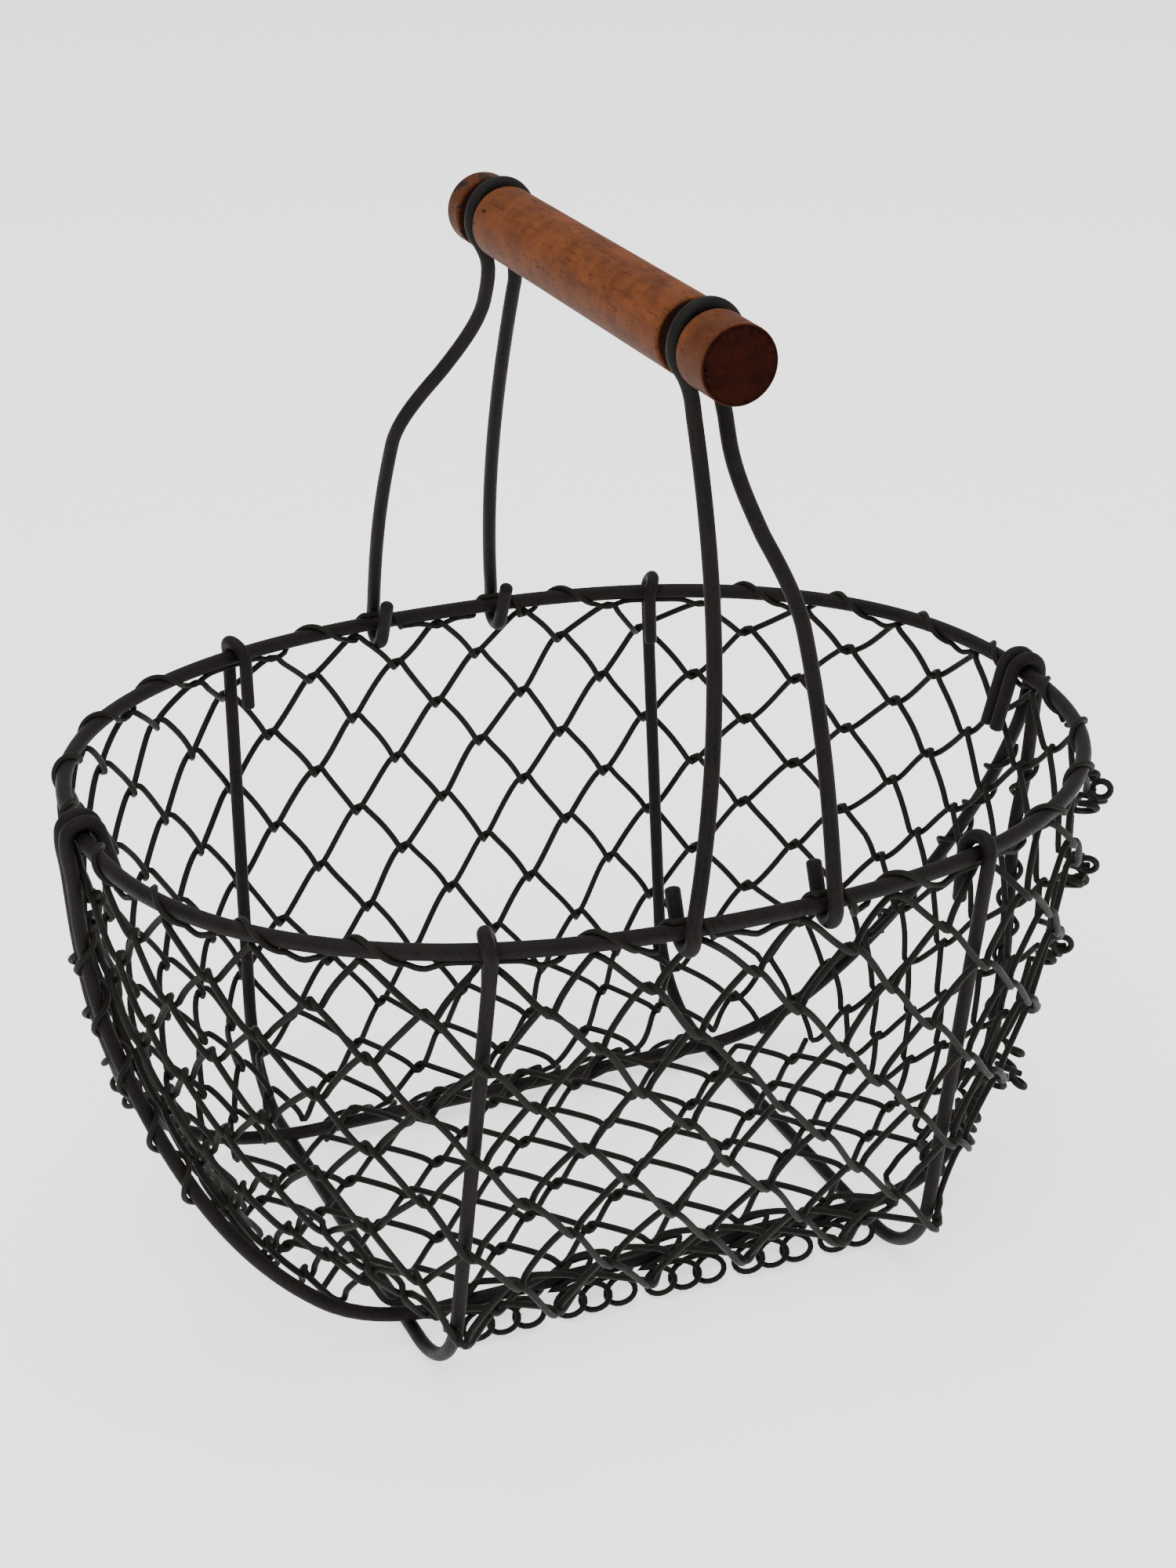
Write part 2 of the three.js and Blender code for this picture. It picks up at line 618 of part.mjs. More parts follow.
function baseStrand(row) {
  const width = BASE_WIDTH - 2 * BASE_NET_INSET;
  const step = width / BASE_ROWS;
  const nearY = -width / 2 + step * row;
  const farY = nearY + step;
  const edge = Math.max(Math.abs(nearY), Math.abs(farY));
  const reach = ovalX(ovalAt(FOOT_HEIGHT), edge) - BASE_NET_END_GAP;
  const points = [];
  const first = Math.ceil((-reach * 2) / NET_PITCH);
  for (let i = first; i <= -first; i++) {
    const upper = (i + row) % 2 !== 0;
    const frame = {
      centre: vec((i * NET_PITCH) / 2, upper ? farY : nearY, BASE_NET_HEIGHT),
      along: vec(1, 0, 0),
      down: vec(0, -1, 0),
      out: vec(0, 0, -1),
    };
    points.push(...bendPoints(frame, upper));
  }
  return named(`base_strand_${row + 1}`, wireGeometry(points, NET_WIRE, THIN_SIDES), netSteel);
}

// Turns of the rim binding: each has a middle, the half length that it stays on top of the rim and
// the length of its climb. None is wound where a rib or an end hook sits on the rim.
function rimTurns() {
  const hookAt = (HOOK_SPACING / 2 + RIB_HALF) / (RIB_SPACING / SIDE_PITCHES);
  const firstSide = [SIDE_PITCHES - hookAt, hookAt];
  const hooks = [...firstSide, ...firstSide.map((at) => HALF_ROUND + at)];
  const ribs = [0, SIDE_PITCHES, HALF_ROUND, HALF_ROUND + SIDE_PITCHES];
  const turns = [];
  for (let k = 0; k < AROUND; k++) {
    const u = Math.ceil(BINDING_START) + k;
    const place = u % AROUND;
    const hook = hooks.find((at) => Math.abs(at - place) < 0.5);
    if (ribs.includes(place)) {
      continue;
    }
    if (hook !== undefined) {
      turns.push({ at: u - place + hook, flat: HOOK_WRAP_FLAT, ramp: HOOK_WRAP_RAMP });
    } else {
      turns.push({ at: u, flat: 0, ramp: WRAP_HALF });
    }
  }
  return turns;
}

function rimBindingPath() {
  const points = [];
  const put = (u, angle) => {
    const centre = rimPoint(u);
    const along = rimPoint(u + BINDING_MARGIN).sub(rimPoint(u - BINDING_MARGIN)).normalize();
    const out = new THREE.Vector3().crossVectors(UP, along).normalize();
    if (out.dot(centre.clone().setZ(0)) < 0) {
      out.negate();
    }
    points.push(centre
      .addScaledVector(out, WINDING_RADIUS * Math.sin(angle))
      .addScaledVector(UP, -WINDING_RADIUS * Math.cos(angle)));
  };
  const turns = rimTurns();
  put(BINDING_START + BINDING_MARGIN, 0);
  turns.forEach((turn, index) => {
    const half = WRAP_STEPS / 2;
    for (let i = 0; i <= half; i++) {
      put(turn.at - turn.flat - turn.ramp * (1 - i / half), (Math.PI * i) / half);
    }
    for (let i = turn.flat > 0 ? 0 : 1; i <= half; i++) {
      put(turn.at + turn.flat + (turn.ramp * i) / half, Math.PI + (Math.PI * i) / half);
    }
    const next = turns[(index + 1) % turns.length];
    if (next.at - turn.at > LONG_SPAN) {
      put(turn.at + 1, 0);
    }
  });
  put(BINDING_START + AROUND - BINDING_MARGIN, 0);
  return points;
}

// The lacing of a base wire: groups of loops that hang outside it, and between two groups one turn
// over the wire. A loop swings back under itself, and its sides pass each other with a small lift.
function baseLacingPath(back) {
  const room = halfOf(LENGTHWISE_WIRE, WINDING_WIRE) + PLAY + WINDING_SLACK;
  const root = radians(LACE_ROOT);
  const rootOut = BASE_WIDTH / 2 + room * Math.cos(root);
  const rootUp = BASE_WIRE_HEIGHT - room * Math.sin(root);
  const slope = Math.asin((rootUp - LACE_FLOOR - WINDING_WIRE / 2) / LACE_LOOP_LENGTH);
  const swing = LACE_LOOP_WIDTH / 2 + LACE_PITCH / 4;
  const turnLength = NET_PITCH - LACE_GROUP * LACE_PITCH;
  const points = [];
  let x = -RIB_HALF + LACE_START;
  const put = (along, out, up) => points.push(vec(along, back * out, up));
  const loop = (t) => {
    const angle = 2 * Math.PI * t;
    const reach = (LACE_LOOP_LENGTH / 2) * (1 - Math.cos(angle));
    const lift = LACE_LIFT * Math.sin(angle);
    put(
      x + LACE_PITCH * t + swing * Math.sin(angle),
      rootOut + reach * Math.cos(slope) + lift * Math.sin(slope),
      rootUp - reach * Math.sin(slope) + lift * Math.cos(slope),
    );
  };
  const turn = (t) => {
    const angle = 2 * Math.PI * t - root;
    put(
      x + turnLength * t,
      BASE_WIDTH / 2 + room * Math.cos(angle),
      BASE_WIRE_HEIGHT + room * Math.sin(angle),
    );
  };
  for (let k = 0; k < LACE_LOOPS; k++) {
    for (let i = 0; i < LACE_STEPS; i++) {
      loop(i / LACE_STEPS);
    }
    x += LACE_PITCH;
    if ((k + 1) % LACE_GROUP === 0) {
      for (let i = 0; i < LACE_STEPS; i++) {
        turn(i / LACE_STEPS);
      }
      x += turnLength;
    }
  }
  put(x, rootOut, rootUp);
  return points;
}

// A few turns round one lengthwise wire on its way down an end, one turn to each diamond.
function endLacingPath(path, top) {
  const curve = new THREE.CatmullRomCurve3(path, false, 'centripetal');
  const dense = curve.getSpacedPoints(END_LACE_SAMPLES);
  const room = halfOf(LENGTHWISE_WIRE, WINDING_WIRE) + PLAY + WINDING_SLACK;
  const points = [];
  const along = dense.filter((point) => point.z < top);
  const spacing = along[1].distanceTo(along[0]);
  const total = END_LACE_TURNS * END_LACE_STEPS;
  for (let i = 0; i <= total; i++) {
    const place = (i * END_LACE_DROP) / END_LACE_STEPS / spacing;
    const k = Math.floor(place);
    const here = along[k].clone().lerp(along[k + 1], place - k);
    const tangent = along[k + 1].clone().sub(along[k]).normalize();
    const side = new THREE.Vector3().crossVectors(tangent, vec(1, 0, 0)).normalize();
    const out = new THREE.Vector3().crossVectors(side, tangent);
    const angle = (2 * Math.PI * i) / END_LACE_STEPS;
    here.addScaledVector(out, room * Math.cos(angle));
    points.push(here.addScaledVector(side, room * Math.sin(angle)));
  }
  return points;
}

function winding(name, points) {
  return named(name, wireGeometry(points, WINDING_WIRE, THIN_SIDES), netSteel);
}

function grip() {
  const end = GRIP_LENGTH / 2;
  const outer = GRIP_DIAMETER / 2;
  const inner = GROOVE_DIAMETER / 2;
  const groove = (side) => side * (GROOVE_SPACING / 2) + GROOVE_SHIFT - GRIP_SHIFT;
  const half = GROOVE_WIDTH / 2;
  const profile = [
    [0, -end],
    [outer - GRIP_CHAMFER, -end],
    [outer, -end + GRIP_CHAMFER],
    [outer, groove(-1) - half],
    [inner, groove(-1) - half],
    [inner, groove(-1) + half],
    [outer, groove(-1) + half],
    [outer, groove(1) - half],
    [inner, groove(1) - half],
    [inner, groove(1) + half],
    [outer, groove(1) + half],
    [outer, end - GRIP_CHAMFER],
    [outer - GRIP_CHAMFER, end],
    [0, end],
  ].map(([r, y]) => new THREE.Vector2(r, y));
  const mesh = named('wooden_grip', new THREE.LatheGeometry(profile, GRIP_FACETS), wood);
  mesh.position.set(GRIP_SIDE, GRIP_SHIFT, GRIP_HEIGHT);
  return mesh;
}

// Sideways place of a leg at a share of its length from the hook to the neck.
function slantedLeg(side, share) {
  const hook = (side * HOOK_SPACING) / 2;
  const neck = GRIP_SIDE + NECK_SHIFT + (side * NECK_SPACING) / 2;
  return neck + (hook - neck) * (1 - share) ** SLANT_CURVE;
}

function shoulderedLeg(side, share) {
  const hook = (side * HOOK_SPACING) / 2;
  const neck = GRIP_SIDE + NECK_SHIFT + (side * NECK_SPACING) / 2;
  const bulge = Math.sin(Math.PI * Math.min(1, share / (SHOULDER_START + SHOULDER_SPAN / 2)));
  const bend = THREE.MathUtils.smoothstep(share, SHOULDER_START, SHOULDER_START + SHOULDER_SPAN);
  return hook + side * SHOULDER_BULGE * bulge + (neck - hook) * bend;
}

function bowPath(back) {
  const reach = halfOf(RIM_WIRE, BOW_WIRE) + PLAY;
  const hookY = ovalY(rimOval, HOOK_SPACING / 2);
  const neckY = back * (GROOVE_SHIFT + back * (GROOVE_SPACING / 2));
  const neckZ = GRIP_HEIGHT - NECK_DROP;
  // in the plane across the basket: t towards the middle, w up
  const towards = hookY - neckY;
  const rise = neckZ - RIM_HEIGHT;
  const lean = Math.atan2(towards, rise) + Math.asin(reach / Math.hypot(towards, rise));
  const up = vec(0, -back * Math.sin(lean), Math.cos(lean));
  const outward = vec(0, back * Math.cos(lean), Math.sin(lean));
  const leg = (side) => {
    const axis = vec((side * HOOK_SPACING) / 2, back * hookY, RIM_HEIGHT);
    const wrap = arcPoints(axis, outward.clone().negate(), up.clone().negate(), reach, 180, HOOK_STEPS);
    const tip = wrap[0].clone().addScaledVector(up, HOOK_STUB);
    const foot = wrap[wrap.length - 1];
    const neck = vec(0, back * neckY, neckZ);
    const shape = side === -back ? shoulderedLeg : slantedLeg;
    const points = [tip, ...wrap];
    for (let i = 1; i <= LEG_STEPS; i++) {
      const share = i / LEG_STEPS;
      points.push(vec(
        shape(side, share),
        foot.y + (neck.y - foot.y) * share,
        foot.z + (neck.z - foot.z) * share,
      ));
    }
    return points;
  };
  const radius = halfOf(GROOVE_DIAMETER, BOW_WIRE) + LOOP_PLAY;
  const loop = [];
  for (let i = 0; i <= LOOP_STEPS; i++) {
    const angle = radians(LOOP_ARC) * ((2 * i) / LOOP_STEPS - 1);
    loop.push(vec(
      GRIP_SIDE + radius * Math.sin(angle),
      back * neckY,
      GRIP_HEIGHT + radius * Math.cos(angle),
    ));
  }
  const waist = (side) => vec(
    GRIP_SIDE + (side * NECK_SPACING) / 2,
    back * neckY,
    GRIP_HEIGHT - WAIST_DROP,
  );
  return [...leg(-1), waist(-1), ...loop, waist(1), ...leg(1).reverse()];
}

function handleBow(back, name) {
  return named(name, wireGeometry(bowPath(back), BOW_WIRE, FRAME_SIDES), frameSteel);
}

// Least distance between parts of one winding that lie at least half a turn apart.
function leastGap(points, diameter, apart) {
  let least = Infinity;
  points.forEach((a, i) => {
    for (let j = i + apart; j < points.length; j++) {
      least = Math.min(least, a.distanceTo(points[j]) - diameter);
    }
  });
  return least;
}

const windings = {
  rim_binding: rimBindingPath(),
  base_lacing_front: baseLacingPath(-1),
  base_lacing_back: baseLacingPath(1),
  end_lacing_left_front: endLacingPath(frontPath.slice(0, frontPath.length / 2), END_LACE_TOP),
  end_lacing_left_back: endLacingPath(backPath.slice(0, backPath.length / 2), END_LACE_TOP),
  end_lacing_right_front: endLacingPath(frontPath.slice(frontPath.length / 2).reverse(), END_LACE_TOP),
  end_lacing_right_back: endLacingPath(backPath.slice(backPath.length / 2).reverse(), END_LACE_TOP),
};

const basket = new THREE.Group();
basket.add(rimHoop());
basket.add(crossRib(-1, 'cross_rib_left'));
basket.add(crossRib(1, 'cross_rib_right'));
basket.add(lengthwiseWire(frontPath, 'lengthwise_wire_front'));
basket.add(lengthwiseWire(backPath, 'lengthwise_wire_back'));
for (let row = 0; row < NET_ROWS; row++) {
  basket.add(wallStrand(row));
}
for (let row = 0; row < BASE_ROWS; row++) {
  basket.add(baseStrand(row));
}
for (const [name, points] of Object.entries(windings)) {
  basket.add(winding(name, points));
  const least = leastGap(points, WINDING_WIRE, LACE_STEPS / 2).toFixed(2);
  console.log(`${name}: least gap to itself ${least} mm`);
}
basket.add(handleBow(-1, 'handle_bow_front'));
basket.add(handleBow(1, 'handle_bow_back'));
basket.add(grip());

// the origin is under the middle of the whole, on the floor
const box = new THREE.Box3().setFromObject(basket);
const middle = box.getCenter(new THREE.Vector3());
basket.position.set(-middle.x, -middle.y, -box.min.z);

const part = new THREE.Group();
part.add(basket);
part.updateMatrixWorld(true);

export default part;
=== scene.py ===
"""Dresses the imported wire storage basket: round painted wires, a hooked chain-link net, its windings
and a turned wooden grip, on a pale studio floor. Laid out as an add-on and run as a script."""

import math

import bpy
import numpy as np
from bpy.props import FloatProperty, FloatVectorProperty, PointerProperty
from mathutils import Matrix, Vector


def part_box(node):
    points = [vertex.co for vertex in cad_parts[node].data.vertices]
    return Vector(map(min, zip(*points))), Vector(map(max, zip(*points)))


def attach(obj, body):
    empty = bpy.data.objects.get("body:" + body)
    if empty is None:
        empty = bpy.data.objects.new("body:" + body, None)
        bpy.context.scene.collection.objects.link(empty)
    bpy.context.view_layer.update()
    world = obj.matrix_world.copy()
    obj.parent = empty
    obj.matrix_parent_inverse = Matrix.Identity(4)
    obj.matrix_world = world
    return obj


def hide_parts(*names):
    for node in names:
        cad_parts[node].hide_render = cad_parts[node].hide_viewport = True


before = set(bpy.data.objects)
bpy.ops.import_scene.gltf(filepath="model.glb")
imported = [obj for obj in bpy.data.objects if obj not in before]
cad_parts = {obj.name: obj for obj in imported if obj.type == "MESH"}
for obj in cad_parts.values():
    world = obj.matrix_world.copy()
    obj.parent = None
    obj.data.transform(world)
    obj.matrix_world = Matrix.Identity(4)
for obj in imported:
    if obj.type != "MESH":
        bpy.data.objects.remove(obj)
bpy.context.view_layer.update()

bl_info = {
    "name": "Wire storage basket",
    "version": (1, 0, 0),
    "blender": (4, 5, 0),
    "location": "3D View > Sidebar > Basket",
    "description": "Wires, net, windings and grip of an oval hand basket",
    "category": "Add Mesh",
}

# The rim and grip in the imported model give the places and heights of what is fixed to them.
RIM_LOW, RIM_HIGH = (np.array(corner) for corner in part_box("rim_hoop"))
GRIP_LOW, GRIP_HIGH = (np.array(corner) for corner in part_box("wooden_grip"))
SOLID_RIM_WIRE = 0.005
RIM_SPAN = RIM_HIGH - RIM_LOW - SOLID_RIM_WIRE
CENTRE = (RIM_LOW + RIM_HIGH) / 2
GRIP_HEIGHT = float(GRIP_LOW[2] + GRIP_HIGH[2]) / 2
SHIFT = np.array([CENTRE[0], CENTRE[1], 0.0])
UP = np.array([0.0, 0.0, 1.0])
RIGHT = np.array([1.0, 0.0, 0.0])
SIDES = ((-1, "left"), (1, "right"))
BACKS = ((-1, "front"), (1, "back"))
BASKET_BODY = "basket"
FRAME_FINISH = "painted_frame_wire"
NET_FINISH = "painted_net_wire"
WOOD_FINISH = "turned_grip_wood"


def size(name, description, default):
    """A length that a user may change."""
    return FloatProperty(
        name=name, description=description, default=default, min=0.0, max=1.0,
        unit="LENGTH", subtype="DISTANCE", precision=4)


def colour(name, description, default):
    """A linear colour that a user may change."""
    return FloatVectorProperty(
        name=name, description=description, default=default, min=0.0, max=1.0,
        size=3, subtype="COLOR")


class BasketFrameSizes(bpy.types.PropertyGroup):
    """Sizes of the thick wires."""

    rim_wire: size("Rim wire", "Thickness of the rim hoop's wire", 0.005)
    rib_wire: size("Rib wire", "Thickness of the cross ribs' wire", 0.0044)
    lengthwise_wire: size("Lengthwise wire", "Thickness of the lengthwise wires", 0.0046)
    bow_wire: size("Bow wire", "Thickness of the handle bows' wire", 0.0046)
    rim_length: size("Rim length", "Rim hoop along the basket, on its centreline", float(RIM_SPAN[0]))
    rim_width: size("Rim width", "Rim hoop across the basket, on its centreline", float(RIM_SPAN[1]))
    rim_height: size("Rim height", "Middle of the rim wire above the floor", float(CENTRE[2]))
    rib_spacing: size("Rib spacing", "Between the two ribs, at the rim", 0.155)
    base_width: size("Base width", "Between the two lengthwise wires on the base", 0.116)
    base_straight: size("Base straight", "Straight run of a lengthwise wire on the base", 0.156)


class BasketNetSizes(bpy.types.PropertyGroup):
    """Sizes of the chain-link net."""

    wire: size("Net wire", "Thickness of the net's wire", 0.00215)
    depth: size("Half depth", "How far the legs of a strand lie off its middle", 0.00185)
    hook: size("Hook", "How far a bend reaches past the one that it holds", 0.0013)
    shear: size("Hook slant", "How far the bends lean along the wall", 0.0010)
    arch: size("Leg arch", "How far the inner legs arch upwards", 0.0010)
    ring: size("Seam ring", "Radius of the rings that the ends of the strands form", 0.0028)


class BasketWindingSizes(bpy.types.PropertyGroup):
    """Sizes of the thin wires that tie the net on."""

    wire: size("Winding wire", "Thickness of the winding wire", 0.0019)
    loop_width: size("Loop width", "A base loop from side to side, on its centreline", 0.0086)
    loop_length: size("Loop length", "How far a base loop hangs out", 0.0108)


class BasketGripSizes(bpy.types.PropertyGroup):
    """Sizes of the turned grip."""

    length: size("Length", "Grip from end to end", float(GRIP_HIGH[1] - GRIP_LOW[1]))
    diameter: size("Diameter", "Grip across its thickest part", float(GRIP_HIGH[2] - GRIP_LOW[2]))
    groove: size("Groove diameter", "Grip across the floor of a groove", 0.0146)
    groove_width: size("Groove width", "A groove along the grip", 0.0124)
    edge: size("Edge", "Rounding of the turned edges", 0.0009)


class BasketFinish(bpy.types.PropertyGroup):
    """Colours of the basket and its stage."""

    paint_dark: colour("Paint, dark", "Frame wire in the hollows of its coat", (0.0024, 0.0016, 0.0014))
    paint_light: colour("Paint, light", "Frame wire where the coat is dusty", (0.0098, 0.0072, 0.0064))
    net_dark: colour("Net, dark", "Net wire in the hollows of its coat", (0.0030, 0.0026, 0.0018))
    net_light: colour("Net, light", "Net wire where the coat is dusty", (0.0110, 0.0099, 0.0070))
    wood_light: colour("Wood, light", "Turned wood between the grain", (0.146, 0.0446, 0.0130))
    # dark grain colour; scaled down, it also gives the painted shade under the grip
    dark_wood_grain_and_shade: colour("Wood, dark", "Turned wood in the grain", (0.064, 0.0174, 0.0054))
    wood_end: colour("Wood, end", "End grain of the grip", (0.0225, 0.0036, 0.0011))
    # painted shade on the floors of the grooves
    wood_groove_shade: colour("Wood, groove", "Floor of the grooves", (0.014, 0.0050, 0.0028))
    floor: colour("Floor", "Studio floor", (0.92, 0.92, 0.915))
    light: FloatProperty(name="Light", description="Strength of the studio lights", default=1.0,
                         min=0.0, max=10.0)


# Shapes of the wall and the ribs, in metres, diamonds and rows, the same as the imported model's.
RIM_SQUARENESS = 2.3
FOOT_SQUARENESS = 4.0
FOOT_LENGTH = 0.229
FOOT_WIDTH = 0.119
FOOT_HEIGHT = 0.01232
END_BELLY = 2.5
END_TAPER = 0.25
SIDE_PITCHES = 5
END_PITCHES = 9
HALF_ROUND = SIDE_PITCHES + END_PITCHES
AROUND = 2 * HALF_ROUND
NET_PITCH = 0.031
NET_ROWS = 11
NET_TOP_ROW = 0.010
NET_OFF_RIB = 0.0063
NET_CORNER_ROW = 8
NET_CORNER = 0.024
NET_FULLNESS = 0.006
NET_DRAW = 0.014
NET_DRAW_CURVE = 3.2
NET_REACH = 2.5              # the ribs push the net out this far round the ends, in diamonds
NET_REACH_LOW = 0.8          # and less far low down
NET_REACH_ROWS = (5, 10)     # rows between which it changes
NET_ROW_CROWDING = 1.1
RIB_SPREAD = 0.004
RIB_FOOT = {-1: 0.092, 1: 0.103}
RIB_CORNER = 0.034
RIB_MIDDLE = 0.00199
RIB_TO_RIM = 0.0051
TOP_DROP = 0.00705           # upper bends of the top strand below the rim's middle
APEX_RISE = 0.0021           # they are pulled up against the rim by the binding
SEAM = 11                    # where a strand's ends meet, in diamonds from the left back rib
SEAM_STEP_ROW = 6            # from this strand down, one diamond further round
WALL_LEVELS = 67             # level sections that are kept of the wall
WALL_OVER_RIM = 0.004
WALL_SAMPLES = 16            # points of a section to a diamond
END_ANGLES = 97
AXIS_STEP = 0.1
RIM_POINTS = 256
WIRE_SIDES = 16
THIN_SIDES = 8
DOME_ANGLES = (30.0, 60.0, 84.0)
DOME_BLUNTNESS = 0.45
CORE_STEP = 0.0006           # between the points of a thick wire that the net is kept off
PLAY = 0.0003


# Wires

def unit(vectors):
    """Vectors of length one."""
    return vectors / np.linalg.norm(vectors, axis=-1, keepdims=True)


def tangents_of(path, closed):
    """Direction at each point: the sum of the directions of the two steps that meet there."""
    if closed:
        steps = unit(np.roll(path, -1, axis=0) - path)
        return unit(steps + np.roll(steps, 1, axis=0))
    steps = unit(np.diff(path, axis=0))
    return unit(np.concatenate([steps[:1], steps[:-1] + steps[1:], steps[-1:]]))


def turn_between(a, b):
    """Matrices of the smallest turns from a to b: one plus the cross matrix K of a x b plus
    K squared over one plus a . b."""
    x, y, z = np.cross(a, b).T
    zero = np.zeros_like(x)
    cross = np.stack([zero, -z, y, z, zero, -x, -y, x, zero], axis=1).reshape(-1, 3, 3)
    dot = np.sum(a * b, axis=1)[:, None, None]
    return np.eye(3) + cross + cross @ cross / (1 + dot)


def running_product(turns):
    """Product of all matrices up to each one, doubled up in steps of 1, 2, 4 and so on."""
    total = turns
    step = 1
    while step < len(total):
        total = np.concatenate([total[:step], total[step:] @ total[:-step]])
        step *= 2
    return total


def carried_normals(tangents, closed):
    """A direction across the path that turns with it and never twists. On a closed path the turn
    that is left over is shared out evenly."""
    start = unit(np.cross(tangents[0], UP if abs(tangents[0][2]) < 0.9 else RIGHT))
    following = np.roll(tangents, -1, axis=0) if closed else tangents[1:]
    turns = running_product(turn_between(tangents[:len(following)], following))
    normals = np.concatenate([start[None], turns @ start])
    if closed:
        last = normals[-1]
        left = math.atan2(last @ np.cross(tangents[0], start), last @ start)
        normals = normals[:-1]
        angle = -left * np.arange(len(normals))[:, None] / len(normals)
        across = np.cross(tangents, normals)
        normals = normals * np.cos(angle) + across * np.sin(angle)
    return unit(normals - tangents * np.sum(normals * tangents, axis=1, keepdims=True))


def domed(path, radii):
    """The path run on at both ends over a quarter of a flat ellipse, so that a cut wire ends in a
    low dome: the run on is bluntness x radius x sine, and the radius shrinks with the cosine."""
    angle = np.radians(DOME_ANGLES)
    first = unit(path[0] - path[1])
    last = unit(path[-1] - path[-2])
    reach = np.sin(angle)[:, None]
    head = path[0] + first * reach[::-1] * radii[0] * DOME_BLUNTNESS
    tail = path[-1] + last * reach * radii[-1] * DOME_BLUNTNESS
    shrink = np.cos(angle)
    return (
        np.concatenate([head, path, tail]),
        np.concatenate([shrink[::-1] * radii[0], radii, shrink * radii[-1]]),
    )


def ring_faces(rings, sides, closed=False):
    """Quads between rings of points, and a cap on each end where the row of rings is open."""
    here = np.arange(rings if closed else rings - 1)[:, None] * sides
    there = (here + sides) % (rings * sides)
    k = np.arange(sides)[None]
    m = (k + 1) % sides
    quads = np.stack([here + k, here + m, there + m, there + k], axis=2).reshape(-1, 4).tolist()
    if closed:
        return quads
    first = np.arange(sides)
    return quads + [first[::-1].tolist(), (first + (rings - 1) * sides).tolist()]


def wire_surface(path, diameter, sides, closed=False):
    """A round wire: round each point of the path a circle of that radius, in the plane across the
    path. Gives its points and faces."""
    radii = np.full(len(path), diameter / 2)
    tangents = tangents_of(path, closed)
    normals = carried_normals(tangents, closed)
    if not closed:
        path, radii = domed(path, radii)
        extra = ((len(DOME_ANGLES), len(DOME_ANGLES)), (0, 0))
        tangents, normals = (np.pad(rows, extra, mode="edge") for rows in (tangents, normals))
    across = np.cross(tangents, normals)
    angle = 2 * math.pi * np.arange(sides)[None, :, None] / sides
    ring = normals[:, None] * np.cos(angle) + across[:, None] * np.sin(angle)
    points = (path[:, None] + ring * radii[:, None, None]).reshape(-1, 3)
    return points, ring_faces(len(path), sides, closed)


def smooth_path(guides, per_step):
    """A curve through the guide points. Between two of them it is a cubic whose end directions are
    those of the parabola through each point and its neighbours."""
    guides = np.asarray(guides, float)
    steps = np.diff(guides, axis=0)
    length = np.linalg.norm(steps, axis=1)[:, None]
    slope = steps / length
    inner = (slope[:-1] * length[1:] + slope[1:] * length[:-1]) / (length[:-1] + length[1:])
    slopes = np.concatenate([slope[:1], inner, slope[-1:]])
    t = (np.arange(per_step) / per_step)[None, :, None]
    a, b = guides[:-1, None], guides[1:, None]
    u, v = slopes[:-1, None] * length[:, None], slopes[1:, None] * length[:, None]
    curve = (
        a * (2 * t ** 3 - 3 * t ** 2 + 1) + u * (t ** 3 - 2 * t ** 2 + t)
        + b * (3 * t ** 2 - 2 * t ** 3) + v * (t ** 3 - t ** 2)
    )
    return np.concatenate([curve.reshape(-1, 3), guides[-1:]])


def even_steps(path, step):
    """Points at even distances along a path."""
    run = np.concatenate([[0], np.cumsum(np.linalg.norm(np.diff(path, axis=0), axis=1))])
    at = np.linspace(0, run[-1], round(run[-1] / step) + 1)
    return np.stack([np.interp(at, run, path[:, k]) for k in range(3)], axis=1)


def kept_clear(path, wires, thickness):
    """Points that come too near a thick wire move straight away from the nearest point of it, so
    that a thin wire bends round a thick one."""
    for wire, thick in wires:
        core = even_steps(wire, CORE_STEP)
        nearest = core[np.argmin(np.linalg.norm(path[:, None] - core[None], axis=2), axis=1)]
        away = path - nearest
        short = (thick + thickness) / 2 + PLAY - np.linalg.norm(away, axis=1)
        path = path + unit(away) * np.maximum(short, 0)[:, None]
    return path


def arc(centre, start, towards, radius, degrees, steps):
    """Points on a circle: centre plus radius x (start x cosine + towards x sine)."""
    angle = np.radians(degrees) * np.linspace(0, 1, steps + 1)[:, None]
    return centre + radius * (start * np.cos(angle) + towards * np.sin(angle))


def rounded_corner(before, corner, after, radius, steps):
    """A corner between two straight lines as an arc that touches both."""
    a = unit(before - corner)
    b = unit(after - corner)
    half = math.acos(float(a @ b)) / 2
    centre = corner + unit(a + b) * radius / math.sin(half)
    start = corner + a * radius / math.tan(half)
    return arc(centre, unit(start - centre), -a, radius, 180 - math.degrees(2 * half), steps)


def add_piece(name, surface, finish, body, node):
    """A smooth mesh object at the origin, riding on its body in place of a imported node."""
    points, faces = surface
    mesh = bpy.data.meshes.new(name)
    mesh.from_pydata(points + SHIFT, [], faces)
    mesh.polygons.foreach_set("use_smooth", np.ones(len(mesh.polygons), dtype=bool))
    mesh.materials.append(finish)
    mesh.update()
    piece = bpy.data.objects.new(name, mesh)
    bpy.context.scene.collection.objects.link(piece)
    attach(piece, body)
    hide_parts(node)


def add_thick_wire(node, path, diameter, body=BASKET_BODY, closed=False):
    """A wire of the frame or the handle."""
    add_piece(f"round_{node}", wire_surface(path, diameter, WIRE_SIDES, closed),
              finish_named(FRAME_FINISH), body, node)


def add_thin_wire(node, path, diameter):
    """A wire of the net or a winding."""
    add_piece(f"round_{node}", wire_surface(path, diameter, THIN_SIDES),
              finish_named(NET_FINISH), BASKET_BODY, node)


# The wall

